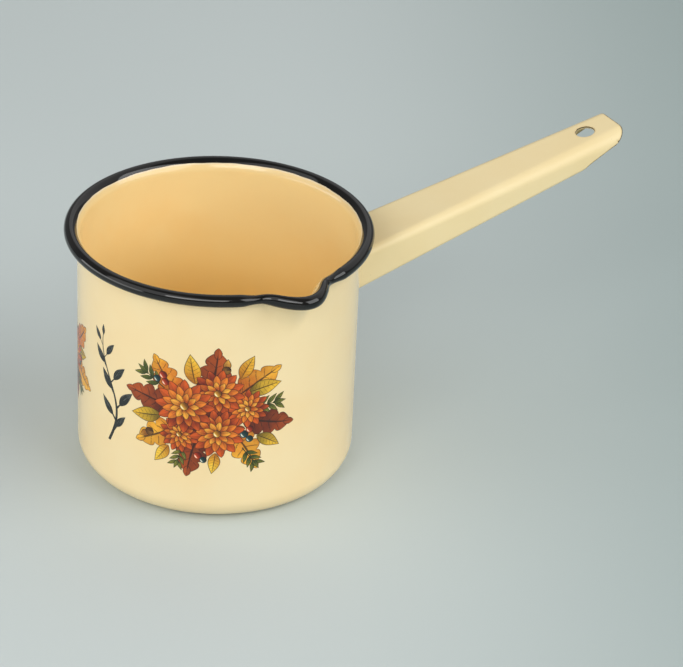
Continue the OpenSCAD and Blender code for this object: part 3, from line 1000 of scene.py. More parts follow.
    def inside(self, t: float, turn: float) -> list[Flat]:
        """Lists the inside coat's section, down its face and back along the steel."""
        c = self.curl(t)
        end = c["black"] + math.degrees(self.waver(turn) / c["f"])
        face = self.foot(0) + self.pooled(t, end, 16)
        back = self.foot(self.coat_t) + self.flare(t, self.coat_t, 180, end, 16)
        return face + back[::-1]

    def outside(self, t: float, turn: float) -> list[Flat]:
        """Lists the outside coat's section, up its face and back along the steel."""
        c = self.curl(t)
        steel = self.wall_t - self.coat_t
        face = self.foot(self.wall_t) + self.flare(t, self.wall_t, 180, c["facing"], 16)
        back = self.foot(steel) + self.flare(t, steel, 180, c["facing"], 16)
        return face + back[::-1]

    def black(self, t: float, turn: float) -> list[Flat]:
        """Lists the rim coat's section, over the bead and back along the steel."""
        c = self.curl(t)
        start = c["black"] + math.degrees(self.waver(turn) / c["f"])
        paths = []
        for k in (0.0, self.coat_t):
            path = self.flare(t, k, start, c["join"], 5)
            paths.append(path + self.bead(t, k, c["join"], c["end"], 56)[1:])
        return paths[0] + paths[1][::-1]

    def press(self, piece: bpy.types.Object, section: Section) -> None:
        """Presses the lip into a round piece, gives each part its own section and notes how far its edge is.

        Args:
            piece: The piece, spun from the section of the round rim.
            section: Gives the section at a t and a direction.
        """
        round_points = section(self.round_t, 0)
        tree = KDTree(len(round_points))
        for index, point in enumerate(round_points):
            tree.insert((point[0], point[1], 0), index)
        tree.balance()
        known: dict[int, list[Flat]] = {}
        edges = [FAR] * len(piece.data.vertices)
        for vertex in piece.data.vertices:
            place = vertex.co / MM
            reach = math.hypot(place.x, place.y)
            if reach < 0.01:
                continue
            _, index, _ = tree.find((reach, place.z, 0))
            angle = math.degrees(math.atan2(place.y, place.x))
            key = round(angle * self.steps / 360)
            if key not in known:
                off = (angle - self.lip_turn + 180) % 360 - 180
                known[key] = section(off / self.lip_half, angle)
            out, up = known[key][index]
            share = out / reach
            vertex.co = Vector((place.x * share, place.y * share, up)) * MM
            edges[vertex.index] = math.dist((out, up), known[key][len(round_points) // 2 - 1])
        Bench.note(piece, "edge", edges)

    def coat(self, name: str, node: str, section: Section, closed: bool, finish: Enamel | RimEnamel) -> None:
        """Makes one coat of the bowl.

        Args:
            name: Name of the piece.
            node: CAD node that it replaces, whose material slot has the same name.
            section: Gives its section at a t and a direction.
            closed: Whether the section is a loop that stays off the axis.
            finish: Its finish.
        """
        piece = Bench.spun(name, section(self.round_t, 0), closed, self.steps)
        self.press(piece, section)
        Bench.smooth(piece, angle=40)
        Bench.dress(piece, finish.material(), node, node)

    def build(self) -> None:
        """Makes the three coats."""
        cream = ShadedInsideEnamel("warm_inside_enamel", tone("F7DD9E"), tone("F6D18C"), tone("6B4A26"))
        pale = BaseEnamel("pale_outside_enamel", tone("F5DFAF"), tone("F5D79F"))
        self.coat("bowl_inside_coat", "inner_enamel", self.inside, False, cream)
        self.coat("bowl_outside_coat", "outer_enamel", self.outside, False, pale)
        self.coat("rim_black_coat", "rim_enamel", self.black, True, RimEnamel())


@dataclass
class Handle:
    """The folded handle: the coat over it, the lining in it and the coat through its hanging hole."""

    wall_r: float = WALL_R
    top_z: float = 97.5
    slope: float = 12.6
    length: float = 153.8
    widths: Flat = (31.7, 24.6)
    depths: Flat = (18.25, 11.2)
    shoulders: Flat = (3.2, 6.3)
    fold_r: float = 2.0
    seam: float = 1.2
    coat_t: float = COAT_T
    sheet_t: float = STEEL_T + 2 * COAT_T
    trim_len: float = 22.4
    trim_d: float = 4.5
    fold_trim: float = 4.4
    corner_r: float = 5.0
    hole_r: float = 4.6
    hole_in: float = 16.0
    lap: float = 0.7
    overlap: float = 0.01
    edge_r: float = 0.5
    fillet_r: float = 0.8
    root_in: float = 0.1
    lining_out: float = 0.4
    merge: float = 0.004
    rows: int = 44

    @property
    def ahead(self) -> Vector:
        """Direction in which the handle runs."""
        a = math.radians(self.slope)
        return Vector((math.cos(a), 0, math.sin(a)))

    @property
    def out(self) -> Vector:
        """Direction out of the handle's top."""
        a = math.radians(self.slope)
        return Vector((-math.sin(a), 0, math.cos(a)))

    @property
    def hole(self) -> Vector:
        """Middle of the hanging hole, on the handle's top."""
        return self.world(self.length - self.hole_in, 0, 0)

    @property
    def corner_y(self) -> float:
        """Distance across to the middle of the tip's round corner."""
        return self.widths[1] / 2 - self.corner_r

    @property
    def kink(self) -> float:
        """Depth at which the trim's line turns into the folds."""
        return mix(*self.depths, 1 - self.trim_len / self.length) - self.fold_r

    @property
    def slopes(self) -> dict[str, float]:
        """Slope of the trim's line over the side and over the fold."""
        return {"side": (self.kink - self.trim_d) / self.trim_len, "fold": self.fold_r / self.fold_trim}

    def world(self, s: float, y: float, z: float) -> Vector:
        """Turns a place along, across and out of the handle's top into the pan's frame."""
        a = math.radians(self.slope)
        return Vector((
            self.wall_r + s * math.cos(a) - z * math.sin(a), y, self.top_z + s * math.sin(a) + z * math.cos(a)
        ))

    def stops(self) -> list[tuple[str, float]]:
        """Lists the stops of half a section, from the middle of the top to the seam."""
        top = [("top", i / 8) for i in range(9)]
        shoulder = [("shoulder", i / 12) for i in range(1, 13)]
        side = [("side", i / 12) for i in range(1, 13)]
        fold = [("fold", i / 8) for i in range(1, 9)]
        near = [0.2, 0.4, 0.6, 0.75, 0.86, 0.92, 0.955, 0.975, 0.99, 1.0]
        return top + shoulder + side + fold + [("seam", share) for share in near]

    def section(self, stop: tuple[str, float], s: float, inset: float) -> tuple[float, float, float]:
        """Gives one stop of the section.

        Args:
            stop: Stretch of the section, and the share of the way along it.
            s: Distance along the handle.
            inset: Distance in from the coat's outer face.

        Returns:
            Place across, place out of the top, and distance to the seam's edge.
        """
        q = s / self.length
        w, d, r = mix(*self.widths, q) / 2, mix(*self.depths, q), mix(*self.shoulders, q)
        kind, share = stop
        if kind == "top":
            return share * (w - r), -inset, FAR
        if kind == "shoulder":
            a = math.radians(90 * (1 - share))
            return w - r + (r - inset) * math.cos(a), -r + (r - inset) * math.sin(a), FAR
        if kind == "side":
            return w - inset, mix(-r, self.fold_r - d, share), FAR
        if kind == "fold":
            a = math.radians(-90 * share)
            reach = self.fold_r - inset
            return w - self.fold_r + reach * math.cos(a), self.fold_r - d + reach * math.sin(a), FAR
        y = mix(w - self.fold_r, self.seam / 2, share)
        return y, inset - d, y - self.seam / 2

    def end(self, stop: tuple[str, float]) -> float:
        """Finds how far along the handle its sheet reaches at a stop."""
        s = self.length
        for _ in range(8):
            y, z, _ = self.section(stop, s, 0)
            wide = min(max(abs(y) - self.corner_y, 0), self.corner_r)
            plan = self.length - self.corner_r + math.sqrt(self.corner_r**2 - wide**2)
            if -z < self.kink:
                trim = self.length - self.trim_len * (-z - self.trim_d) / (self.kink - self.trim_d)
            else:
                trim = self.length - self.trim_len - self.fold_trim * (-z - self.kink) / self.fold_r
            s = min(plan, trim)
        return s

    def root(self, stop: tuple[str, float], inset: float, radius: float) -> float:
        """Finds where along the handle a stop meets a round wall of a radius."""
        a = math.radians(self.slope)
        s = 0.0
        for _ in range(8):
            y, z, _ = self.section(stop, s, inset)
            s = (math.sqrt(radius**2 - y * y) - self.wall_r + z * math.sin(a)) / math.cos(a)
        return s

    def marks(self) -> list[tuple[float, float, float]]:
        """Lists rows along the sheet: a share of its length, and millimetres from its root and its end."""
        near = [0.0, 0.1, 0.22, 0.36, 0.52, 0.72, 1.0, 1.5, 2.4]
        last = [2.4, 1.5, 1.0, 0.7, 0.5, 0.36, 0.24, 0.14, 0.06, 0.0]
        shares = [i / self.rows for i in range(1, self.rows)]
        body = [(share, mix(near[-1], 0, share), mix(0, last[0], share)) for share in shares]
        return [(0.0, x, 0.0) for x in near] + body + [(1.0, 0.0, x) for x in last]

    def edge(self, gap: float) -> float:
        """Returns how deep a face is drawn in near a cut edge, at a distance from it."""
        short = self.edge_r - min(max(gap, 0.0), self.edge_r)
        return min(self.edge_r - math.sqrt(self.edge_r**2 - short**2), self.coat_t)

    def coat(self, name: str, face: float, back: float, wall: float) -> bpy.types.Object:
        """Makes one coat of the folded sheet as a closed skin.

        Args:
            name: Name of the piece.
            face: Inset of the face that shows.
            back: Inset of the face on the steel.
            wall: Radius of the round wall that the coat starts from.

        Returns:
            The piece, drilled for the hole's own coat.
        """
        half = self.stops()
        stops = [(-1, stop) for stop in half[:0:-1]] + [(1, stop) for stop in half]
        marks = self.marks()
        columns, rows = len(stops) - 1, 2 * len(marks)
        outwards = face < back
        slopes = self.slopes

        def law(i: int, j: int) -> Vector:
            """Places one crossing of the skin."""
            side, stop = stops[i]
            behind = len(marks) <= j < rows
            share, from_root, from_end = marks[(rows - 1 - j) if behind else (j if j < rows else 0)]
            base = back if behind else face
            start, end = self.root(stop, base, wall), self.end(stop)
            s = mix(start + from_root, end - from_end, share)
            inset = base
            if not behind:
                _, _, seam = self.section(stop, s, base)
                drawn = self.edge(min((end - s) * slopes.get(stop[0], 1.0), seam))
                inset = base + drawn if outwards else base - drawn
                if outwards and share == 0 and from_root < self.fillet_r:
                    short = self.fillet_r - from_root
                    inset -= self.fillet_r - math.sqrt(self.fillet_r**2 - short**2)
            y, z, _ = self.section(stop, s, inset)
            return self.world(s, side * y, z)

        piece = Bench.grid(name, columns, rows)
        Bench.lay(piece, columns, rows, law)
        Bench.close(piece, self.merge)
        return piece

    def grommet(self) -> bpy.types.Object:
        """Makes the coat through the hanging hole, rolled over both faces of the sheet."""
        outer, turn = self.hole_r + self.lap, 0.45
        middle = self.hole_r + turn
        face = arc((middle, -turn), turn, 90, 180, 8) + arc((middle, turn - self.sheet_t), turn, 180, 270, 8)
        points = [(outer, 0.0)] + face + [(outer, -self.sheet_t)]
        piece = Bench.spun("handle_hole_coat", points, True, 96)
        tilt = Matrix.Rotation(math.radians(-self.slope), 4, "Y")
        piece.data.transform(Matrix.Translation(self.hole * MM) @ tilt)
        return piece

    def build(self) -> None:
        """Makes the coats and dresses them."""
        outer = EdgedEnamel("handle_enamel", tone("EDDAAA"), tone("E9D29C"), handle=self).material()
        # Painted shade: the lining's tones are the handle's cream darkened, for the dim inside of the tube.
        inner = EdgedEnamel("handle_lining_enamel", tone("D2C08E"), tone("BFAB78"), handle=self).material()
        skin = self.coat("handle_outer_coat", 0.0, self.coat_t, self.wall_r - self.root_in)
        steel = self.sheet_t - self.coat_t
        lining = self.coat("handle_inner_coat", self.sheet_t, steel, self.wall_r + self.lining_out)
        for piece in (skin, lining):
            Bench.bore(piece, self.hole, self.out, self.hole_r + self.lap - self.overlap)
            Bench.smooth(piece, angle=32)
        grommet = self.grommet()
        Bench.smooth(grommet, angle=32)
        Bench.dress(skin, outer, "outer_enamel", "handle_enamel")
        Bench.dress(grommet, outer, "outer_enamel", "handle_enamel")
        Bench.dress(lining, inner, "handle_lining", "handle_lining")


class Motif(Enum):
    """Kinds of printed motif."""

    OAK = "oak leaf"
    BEECH = "beech leaf"
    DAHLIA = "dahlia"
    BERRY = "berry"
    SPRIG = "sprig"
    ACORN = "acorn"


Place = tuple[Motif, float, float, float, float]


@dataclass
class Wall:
    """The round wall that the print is fired on to."""

    radius: float = WALL_R
    print_z: float = 59.0
    ink_t: float = 0.02
    floor_lift: float = 0.022
    lift_step: float = 0.0011
    merge: float = 0.0002
    layer: int = 0

    def lift(self) -> float:
        """Returns the next layer's height over the wall."""
        self.layer += 1
        return self.floor_lift + self.layer * self.lift_step

    def wrap(self, turn: float, x: float, y: float, lift: float) -> Vector:
        """Lays a flat place on the wall.

        Args:
            turn: Direction of the flat drawing's middle, in degrees.
            x: Distance round the wall.
            y: Distance up the wall.
            lift: Height over the wall.

        Returns:
            The place in the pan's frame.
        """
        a = math.radians(turn) + x / self.radius
        r = self.radius + lift
        return Vector((r * math.cos(a), r * math.sin(a), self.print_z + y))


@dataclass
class Shape:
    """A flat form that runs from its foot to its tip, as wide at each place as its law says."""

    length: float
    width: Callable[[float], float]
    bend: float
    columns: int
    rows: int

    def at(self, u: float, c: float) -> tuple[float, float, float]:
        """Gives a place in the form.

        Args:
            u: Share of the way from foot to tip.
            c: Share of the way out from the midrib, with its sign.

        Returns:
            Place along, place across and distance to the outline.
        """
        half = self.width(u)
        ends = min(u, 1 - u) * self.length
        across = self.bend * self.length * 4 * u * (1 - u) + c * half
        return u * self.length, across, min((1 - abs(c)) * half * 0.92, ends + 0.02)


class Printer:
    """Lays motifs on the wall one after another, and joins those of one finish."""

    def __init__(self, wall: Wall) -> None:
        """Starts with nothing printed.

        Args:
            wall: What the print is fired on to.
        """
        self.wall = wall
        self.blanks: dict[tuple[int, int], bpy.types.Object] = {}
        self.printed: dict[str, list[bpy.types.Object]] = {}

    def blank(self, columns: int, rows: int) -> bpy.types.Object:
        """Returns a copy of a flat grid, with its own mesh.

        Args:
            columns: Number of faces along.
            rows: Number of faces across.

        Returns:
            The copy.
        """
        key = (columns, rows)
        if key not in self.blanks:
            self.blanks[key] = Bench.grid(f"blank_{columns}_{rows}", columns, rows)
        source = self.blanks[key]
        copy = source.copy()
        copy.data = source.data.copy()
        bpy.context.scene.collection.objects.link(copy)
        return copy

    def lay(
        self, finish: str, turn: float, spot: Flat, angle: float, columns: int, rows: int, shade: float,
        law: Callable[[float, float], tuple[float, float, float]],
    ) -> None:
        """Lays one form on the wall.

        Args:
            finish: Name of its finish.
            turn: Direction of the drawing's middle.
            spot: Place of the form's foot in the drawing.
            angle: Direction that it points in, in degrees.
            columns: Number of faces along.
            rows: Number of faces across.
            shade: Its own shade between 0 and 1.
            law: Gives place along, place across and distance to the outline, from two shares.
        """
        piece = self.blank(columns, rows)
        lift = self.wall.lift()
        c, s = math.cos(math.radians(angle)), math.sin(math.radians(angle))
        margins = []
        for vertex in piece.data.vertices:
            u, v = (min(max((part / MM + 1) / 2, 0.0), 1.0) for part in vertex.co.xy)
            along, across, margin = law(u, v)
            margins.append(margin)
            x, y = spot[0] + along * c - across * s, spot[1] + along * s + across * c
            vertex.co = self.wall.wrap(turn, x, y, lift) * MM
        Bench.note(piece, "margin", margins)
        Bench.note(piece, "shade", [shade] * len(margins))
        self.printed.setdefault(finish, []).append(piece)

    def form(self, finish: str, turn: float, spot: Flat, angle: float, shape: Shape, shade: float) -> None:
        """Lays one form with a midrib."""
        self.lay(
            finish, turn, spot, angle, shape.columns, shape.rows, shade, lambda u, v: shape.at(u, v * 2 - 1)
        )

    def disc(self, finish: str, turn: float, spot: Flat, radius: float, shade: float) -> None:
        """Lays one round form, with its centre at the spot."""

        def law(u: float, v: float) -> tuple[float, float, float]:
            """Places one crossing of a round grid."""
            a = 2 * math.pi * u
            return radius * v * math.cos(a), radius * v * math.sin(a), radius * (1 - v)

        self.lay(finish, turn, spot, 0, 28, 5, shade, law)

    def gather(self, prefix: str, finishes: dict[str, Print], node: str, slot: str) -> None:
        """Joins what was printed and gives it thickness down to the wall.

        Args:
            prefix: Start of each piece's name.
            finishes: The finishes by name.
            node: CAD node that the pieces replace.
            slot: The record's material slot.
        """
        for name, pieces in self.printed.items():
            whole = Bench.join(f"{prefix}_{name}", pieces)
            Bench.close(whole, self.wall.merge)
            Bench.hold(whole)
            body = whole.modifiers.new("body", "SOLIDIFY")
            body.thickness = self.wall.ink_t * MM
            body.offset = -1
            bpy.ops.object.modifier_apply(modifier=body.name)
            Bench.smooth(whole, angle=40)
            Bench.dress(whole, finishes[name].material(), slot, node)
        self.printed = {}

    def clean(self) -> None:
        """Throws the blanks away."""
        for blank in self.blanks.values():
            bpy.data.objects.remove(blank)
        self.blanks = {}


@dataclass
class Posy:
    """A printed posy of leaves, dahlias, berries and acorns."""

    name: str
    node: str
    turn: float
    width: float
    height: float
    places: Sequence[Place]
    start: int
    pen: Printer

    def leaf_width(self, w: float, lobes: int) -> Callable[[float], float]:
        """Returns the law of a leaf's half width.

        Args:
            w: Greatest width.
            lobes: Lobes on each side, or 0 for a smooth edge.

        Returns:
            The half width at each share of the length.
        """

        def plain(u: float) -> float:
            """Half width of a smooth leaf."""
            return w / 2 * max(math.sin(math.pi * u**0.8), 0.0)

        def lobed(u: float) -> float:
            """Half width of a lobed leaf."""
            body = w / 2 * max(math.sin(math.pi * u**0.8), 0.0) ** 0.8
            return body * (0.64 + 0.36 * abs(math.sin(math.pi * (lobes + 0.5) * u)) ** 0.7)

        return lobed if lobes else plain

    def dahlia(self, spot: Flat, size: float, turn: float, shade: float) -> None:
        """Draws a dahlia: three rounds of petals and a heart.

        Args:
            spot: Middle of the flower.
            size: Its radius.
            turn: Angle of its first petal.
            shade: Its own shade.
        """

        def petal_width(u: float) -> float:
            """Half width of a petal, as a share of its greatest width."""
            return max(math.sin(math.pi * min(u * 0.93 + 0.07, 1)), 0) ** 0.7 / 2

        rounds = (
            (12, 0.3, 1.0, 0.36, "outer_petals"),
            (12, 0.2, 0.76, 0.3, "middle_petals"),
            (9, 0.06, 0.5, 0.25, "inner_petals"),
        )
        for level, (count, start, reach, wide, finish) in enumerate(rounds):
            wide *= size
            petal = Shape(size * (reach - start), lambda u, w=wide: w * petal_width(u), 0, 9, 4)
            for i in range(count):
                order = (i * 5) % count
                angle = turn + 360 * (order + 0.5 * (level % 2)) / count
                foot = polar(spot, angle, size * start)
                tint = (shade + 0.13 * ((i * 7) % 5 - 2)) % 1.0
                self.pen.form(finish, self.turn, foot, angle, petal, tint)
        self.pen.disc("hearts", self.turn, spot, size * 0.15, shade)

    def sprig(self, spot: Flat, size: float, angle: float, shade: float) -> None:
        """Draws a sprig: a stem with three pairs of leaflets and one at its tip."""
        stem = Shape(size, lambda u: size * 0.015 * (1.2 - u), 0, 12, 2)
        self.pen.form("sprigs", self.turn, spot, angle, stem, shade)
        leaf = Shape(size * 0.42, self.leaf_width(size * 0.15, 0), 0.02, 12, 4)
        for share in (0.2, 0.42, 0.64):
            foot = polar(spot, angle, size * share)
            for side in (-1, 1):
                self.pen.form("sprigs", self.turn, foot, angle + side * 42, leaf, shade)
        self.pen.form("sprigs", self.turn, polar(spot, angle, size * 0.58), angle, leaf, shade)

    def draw(self, place: Place, order: int) -> None:
        """Draws one motif.

        Args:
            place: Its kind, place, size and direction.
            order: Its number in the table.
        """
        kind, x, y, share, angle = place
        spot = (x * self.width / 2, y * self.height / 2)
        size = share * self.height
        shade = (order * 0.381966) % 1.0
        if kind is Motif.OAK:
            finish = "oak_leaves" if (order + self.start) % 2 else "dark_oak_leaves"
            leaf = Shape(size, self.leaf_width(size * 0.56, 4), 0.03 if order % 2 else -0.03, 54, 10)
            self.pen.form(finish, self.turn, spot, angle, leaf, shade)
        elif kind is Motif.BEECH:
            finish = "beech_leaves" if order % 2 else "gold_leaves"
            leaf = Shape(size, self.leaf_width(size * 0.5, 0), 0.02, 22, 8)
            self.pen.form(finish, self.turn, spot, angle, leaf, shade)
        elif kind is Motif.SPRIG:
            self.sprig(spot, size, angle, shade)
        elif kind is Motif.BERRY:
            self.pen.disc("berries" if order % 2 else "blue_berries", self.turn, spot, size, shade)
        elif kind is Motif.ACORN:
            nut = Shape(size, self.leaf_width(size * 0.62, 0), 0, 18, 8)
            self.pen.form("acorns", self.turn, spot, angle, nut, shade)
            self.pen.disc("acorn_cups", self.turn, spot, size * 0.36, shade)
        else:
            self.dahlia(spot, size, angle, shade)

    def build(self, finishes: dict[str, Print]) -> None:
        """Draws every motif, the lowest first.

        Args:
            finishes: The finishes by name.
        """
        rank = [Motif.OAK, Motif.SPRIG, Motif.BEECH, Motif.ACORN, Motif.BERRY, Motif.DAHLIA]
        numbered = sorted(enumerate(self.places), key=lambda item: rank.index(item[1][0]))
        for order, place in numbered:
            self.draw(place, order)
        self.pen.gather(self.name, finishes, self.node, "print")


@dataclass
class Twig:
    """A twig in brush ink between the posies."""

    turn: float
    height: float
    pen: Printer
    stroke_w: float = 1.7
    leaves: Sequence[tuple[float, int, float, float]] = (
        (0.12, 1, 0.17, 38), (0.22, -1, 0.2, 42), (0.34, 1, 0.22, 40), (0.46, -1, 0.2, 36),
        (0.56, 1, 0.2, 40), (0.67, -1, 0.18, 38), (0.76, 1, 0.16, 36), (0.86, -1, 0.13, 34),
    )

    def at(self, u: float) -> Flat:
        """Returns the stem's place at a share of its height."""
        return 0.09 * self.height * math.sin(math.radians(300 * u)), self.height * (u - 0.5)

    def leaf(self, size: float) -> Shape:
        """Returns one leaf of a length."""
        return Shape(size, lambda u: size * 0.18 * max(math.sin(math.pi * u**0.8), 0.0), 0.03, 16, 6)

    def build(self, finishes: dict[str, Print]) -> None:
        """Draws the stem, its shoots and its leaves.

        Args:
            finishes: The finishes by name.
        """

        def stem(u: float, v: float) -> tuple[float, float, float]:
            """Places one crossing of the stem."""
            x, y = self.at(u)
            half = self.stroke_w * mix(1, 0.25, u) / 2
            return x + half * (v * 2 - 1), y, half * (1 - abs(v * 2 - 1))

        self.pen.lay("ink", self.turn, (0, 0), 0, 60, 4, 0.2, stem)
        for order, (share, side, size, lean) in enumerate(self.leaves):
            foot = self.at(share)
            angle = 90 - side * lean
            shoot = self.height * 0.1
            width = self.stroke_w * (1 - share)
            stalk = Shape(shoot, lambda u, w=width: mix(w, self.stroke_w * 0.25, u) / 2, 0, 6, 2)
            self.pen.form("ink", self.turn, foot, angle, stalk, 0.4)
            start = polar(foot, angle, shoot / 2)
            leaf = self.leaf(self.height * size)
            self.pen.form("ink", self.turn, start, angle, leaf, order / len(self.leaves))
        x, y = self.at(1)
        self.pen.form("ink", self.turn, (x, y - self.stroke_w), 90, self.leaf(self.height * 0.1), 0.7)
        self.pen.gather("twig", finishes, "ink_twig_transfer", "ink")


@dataclass
class Decoration:
    """The whole fired print: two posies and the ink twig."""

    posy_turn: float = -121.0
    posy_w: float = 72.0
    posy_h: float = 60.0
    twig_gap: float = 15.1
    small_gap: float = 19.1
    small_w: float = 48.0
    small_h: float = 42.0
    twig_h: float = 55.0

    def finishes(self) -> dict[str, Print]:
        """Returns the finish of each kind of motif."""
        ink = tone("2A1710")
        feather, petal = Stroke.FEATHER, Stroke.PETAL
        rows = (
            ("oak_leaves", "D2701A", "F7B434", "8A3A12", ink, feather, 7.0),
            ("dark_oak_leaves", "6E2A14", "B4501C", "35120C", ink, feather, 7.0),
            ("beech_leaves", "DC961E", "FACC42", "A05C1A", ink, feather, 8.0),
            ("gold_leaves", "A08422", "EEBC34", "665014", ink, feather, 8.0),
            ("sprigs", "4F5A22", "8B8A34", "2C3413", tone("20240F"), feather, 5.0),
            ("outer_petals", "7C2410", "D4581A", "3E100A", ink, petal, 4.0),
            ("middle_petals", "A33A12", "EE8426", "541A0C", ink, petal, 4.0),
            ("inner_petals", "C85A16", "F8B03C", "7A2C0E", ink, petal, 3.0),
            ("hearts", "E0A030", "F8D468", "6A3A10", ink, Stroke.ROUND, 5.0),
            ("berries", "C23A16", "EE7038", "5E140A", ink, Stroke.ROUND, 5.0),
            ("blue_berries", "23484A", "4E8080", "0E2426", tone("0C1517"), Stroke.ROUND, 5.0),
            ("acorns", "A0641E", "DDA040", "5A3010", ink, petal, 6.0),
            ("acorn_cups", "6A4218", "9C6C2C", "38200C", ink, Stroke.CHECK, 5.0),
            ("ink", "262B2A", "626864", "151918", tone("151918"), Stroke.BRUSH, 5.0),
        )
        return {
            name: Print(f"print_{name}", tone(foot), tone(tip), tone(deep), line, stroke, veins)
            for name, foot, tip, deep, line, stroke, veins in rows
        }

    def build(self) -> None:
        """Prints the posies and the twig."""
        finishes = self.finishes()
        radius = Wall().radius
        twig_turn = self.posy_turn - math.degrees((self.posy_w / 2 + self.twig_gap) / radius)
        small_turn = twig_turn - math.degrees((self.small_gap + self.small_w / 2) / radius)
        for name, node, turn, w, h, places, start in (
            ("posy", "posy_transfer", self.posy_turn, self.posy_w, self.posy_h, POSY, 0),
            ("small_posy", "small_posy_transfer", small_turn, self.small_w, self.small_h, SMALL_POSY, 1),
        ):
            pen = Printer(Wall(lift_step=0.0004))
            Posy(name, node, turn, w, h, places, start, pen).build(finishes)
            pen.clean()
        pen = Printer(Wall())
        Twig(twig_turn, self.twig_h, pen).build(finishes)
        pen.clean()


POSY: tuple[Place, ...] = (
    (Motif.OAK, -0.16, -0.24, 0.5, 48),
    (Motif.OAK, 0.3, 0.24, 0.46, 34),
    (Motif.OAK, -0.02, 0.2, 0.48, 80),
    (Motif.OAK, -0.34, 0.2, 0.42, 122),
    (Motif.OAK, -0.4, 0.02, 0.44, 168),
    (Motif.OAK, -0.34, -0.2, 0.44, 212),
    (Motif.OAK, -0.08, -0.24, 0.46, 256),
    (Motif.OAK, 0.26, -0.2, 0.46, 300),
    (Motif.OAK, 0.42, -0.06, 0.44, 346),
    (Motif.BEECH, -0.16, 0.5, 0.26, 100),
    (Motif.BEECH, 0.5, 0.36, 0.27, 12),
    (Motif.BEECH, 0.4, 0.6, 0.22, 62),
    (Motif.BEECH, -0.6, -0.12, 0.26, 190),
    (Motif.BEECH, -0.5, -0.62, 0.2, 236),
    (Motif.BEECH, 0.62, -0.4, 0.22, 328),
    (Motif.BEECH, 0.1, -0.68, 0.19, 262),
    (Motif.SPRIG, -0.56, 0.36, 0.27, 146),
    (Motif.SPRIG, 0.56, 0.1, 0.27, 4),
    (Motif.SPRIG, -0.3, -0.6, 0.22, 250),
    (Motif.SPRIG, 0.44, -0.6, 0.24, 304),
    (Motif.ACORN, 0.22, 0.76, 0.1, 84),
    (Motif.ACORN, -0.76, -0.46, 0.1, 214),
    (Motif.DAHLIA, -0.36, -0.4, 0.16, 10),
    (Motif.DAHLIA, 0.5, 0.08, 0.17, 30),
    (Motif.DAHLIA, 0.12, 0.36, 0.21, 20),
    (Motif.DAHLIA, 0.12, -0.34, 0.215, 40),
    (Motif.DAHLIA, -0.3, 0.1, 0.235, 0),
    (Motif.BERRY, -0.58, 0.58, 0.034, 0),
    (Motif.BERRY, -0.66, 0.5, 0.03, 0),
    (Motif.BERRY, -0.55, 0.47, 0.032, 0),
    (Motif.BERRY, 0.46, -0.36, 0.034, 0),
    (Motif.BERRY, 0.53, -0.28, 0.03, 0),
    (Motif.BERRY, 0.53, -0.45, 0.03, 0),
    (Motif.BERRY, -0.12, -0.74, 0.032, 0),
    (Motif.BERRY, -0.05, -0.81, 0.028, 0),
)

SMALL_POSY: tuple[Place, ...] = (
    (Motif.OAK, 0.2, 0.2, 0.56, 44),
    (Motif.OAK, -0.1, 0.14, 0.5, 100),
    (Motif.OAK, 0.24, -0.14, 0.54, 342),
    (Motif.OAK, 0.04, -0.24, 0.5, 284),
    (Motif.OAK, -0.3, 0.0, 0.5, 166),
    (Motif.OAK, -0.3, -0.3, 0.42, 222),
    (Motif.BEECH, 0.36, 0.1, 0.32, 12),
    (Motif.BEECH, -0.3, 0.4, 0.28, 128),
    (Motif.SPRIG, 0.3, -0.36, 0.34, 310),
    (Motif.SPRIG, -0.44, 0.22, 0.3, 146),
    (Motif.DAHLIA, -0.34, -0.22, 0.2, 0),
    (Motif.DAHLIA, 0.12, 0.08, 0.27, 15),
    (Motif.BERRY, 0.5, -0.1, 0.05, 0),
    (Motif.BERRY, 0.58, 0.02, 0.045, 0),
    (Motif.BERRY, -0.08, -0.56, 0.05, 0),
)


@dataclass
class Metal:
    """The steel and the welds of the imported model, which keep their own shape."""

    def build(self) -> None:
        """Dresses the CAD nodes that stay."""
        steel = Steel("scaled_sheet_steel", tone("8C8A86"), tone("3B342D"), 0.6).material()
        weld = Steel("weld_metal", tone("9C9890"), tone("4A3E34"), 0.35).material()
        for name, material in (("pot_shell", steel), ("handle_shell", steel), ("plug_welds", weld)):
            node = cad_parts[name]
            node.data.materials.clear()
            node.data.materials.append(material)
            log.info("%s: the packed solid, with %s", name, material.name)


@dataclass
class Lamp:
    """One soft lamp: its direction in degrees, its power in watts, and its size and distance in metres."""

    name: str
    turn: float
    height: float
    power: float
    size: Flat
    distance: float = 2.4

    def build(self, target: Vector) -> None:
        """Hangs the lamp.

        Args:
            target: What it is aimed at, in metres.
        """
        a, e = math.radians(self.turn), math.radians(self.height)
        away = Vector((math.cos(a) * math.cos(e), math.sin(a) * math.cos(e), math.sin(e)))
        spot = target + away * self.distance
        bpy.ops.object.light_add(type="AREA", location=spot)
        lamp = bpy.context.object
        lamp.name = self.name
        lamp.rotation_euler = away.to_track_quat("Z", "Y").to_euler()
        lamp.data.shape = "RECTANGLE"
        lamp.data.size, lamp.data.size_y = self.size
        lamp.data.energy = self.power


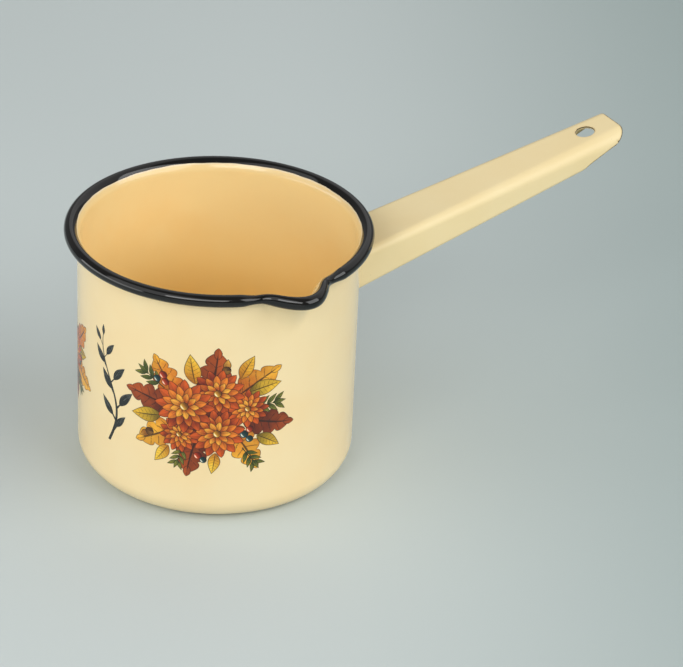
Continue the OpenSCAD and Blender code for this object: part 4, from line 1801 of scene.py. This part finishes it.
@dataclass
class Studio:
    """Paper floor and soft lamps in metres, pale room, and the photograph's camera in millimetres."""

    eye: Vector = Vector((-570.69, -1073.31, 759.73))
    right: Vector = Vector((0.870290, -0.490933, 0.039781))
    up: Vector = Vector((0.213663, 0.449068, 0.867575))
    focal_px: float = 3000.0
    width_px: float = 683.0
    sensor: float = 36.0
    paper_w: float = 9.0
    paper_edge: float = 0.4
    paper_drop: float = 0.15
    middle: Vector = Vector((0.03, 0.0, 0.06))
    room: float = 0.22

    def floor(self) -> None:
        """Lays the paper, with its far edges turned down."""
        Bench.clear()
        bpy.ops.mesh.primitive_plane_add(size=self.paper_w, location=(0, 0, 0))
        paper = bpy.context.object
        paper.name = paper.data.name = "studio_floor"
        bpy.ops.object.mode_set(mode="EDIT")
        bpy.ops.mesh.select_all(action="SELECT")
        bpy.ops.mesh.inset(thickness=self.paper_edge, depth=0)
        bpy.ops.object.mode_set(mode="OBJECT")
        level = (self.paper_w - self.paper_edge) / 2 / MM
        Bench.pick(paper, lambda place: max(abs(place.x), abs(place.y)) > level)
        bpy.ops.transform.translate(value=(0, 0, -self.paper_drop))
        bpy.ops.object.mode_set(mode="OBJECT")
        paper.data.materials.append(Ground().material())

    def camera(self) -> None:
        """Places the photograph's camera."""
        bpy.ops.object.camera_add()
        camera = bpy.context.object
        camera.name = "photograph_camera"
        right, up = self.right.normalized(), self.up.normalized()
        back = right.cross(up)
        turn = Matrix((right, up, back)).transposed().to_4x4()
        camera.matrix_world = Matrix.Translation(self.eye * MM) @ turn
        camera.data.sensor_width = self.sensor
        camera.data.sensor_fit = "HORIZONTAL"
        camera.data.lens = self.focal_px * self.sensor / self.width_px
        camera.data.clip_start = 0.05
        bpy.context.scene.camera = camera

    def surroundings(self) -> None:
        """Makes the pale room that the pan stands in."""
        world = bpy.data.worlds.new("pale_room")
        world.use_nodes = True
        background = world.node_tree.nodes["Background"]
        background.inputs["Color"].default_value = (1.0, 1.0, 1.0, 1.0)
        background.inputs["Strength"].default_value = self.room
        bpy.context.scene.world = world

    def build(self) -> None:
        """Sets up the whole studio."""
        self.floor()
        self.camera()
        self.surroundings()
        lamps = (
            Lamp("low_left_softbox", 160, 4, 22.0, (2.6, 1.0)),
            Lamp("left_softbox", 188, 40, 16.5, (2.8, 2.0)),
            Lamp("front_softbox", 226, 33, 18.5, (1.7, 0.8)),
            Lamp("right_softbox", 304, 34, 72.0, (3.4, 2.4), 3.2),
            Lamp("far_softbox", 28, 46, 22.0, (5.2, 3.4), 3.2),
        )
        for lamp in lamps:
            lamp.build(self.middle)
        bpy.context.scene.view_settings.view_transform = "Standard"


def main() -> None:
    """Builds the pan's looks and the studio in order."""
    logging.basicConfig(level=logging.INFO, format="%(relativeCreated)d ms %(message)s")
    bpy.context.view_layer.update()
    bowl = Bowl()
    for part in (bowl, Handle(), Decoration(), Metal(), Studio()):
        part.build()
        log.info("%s is done", type(part).__name__)


if __name__ == "__main__":
    main()
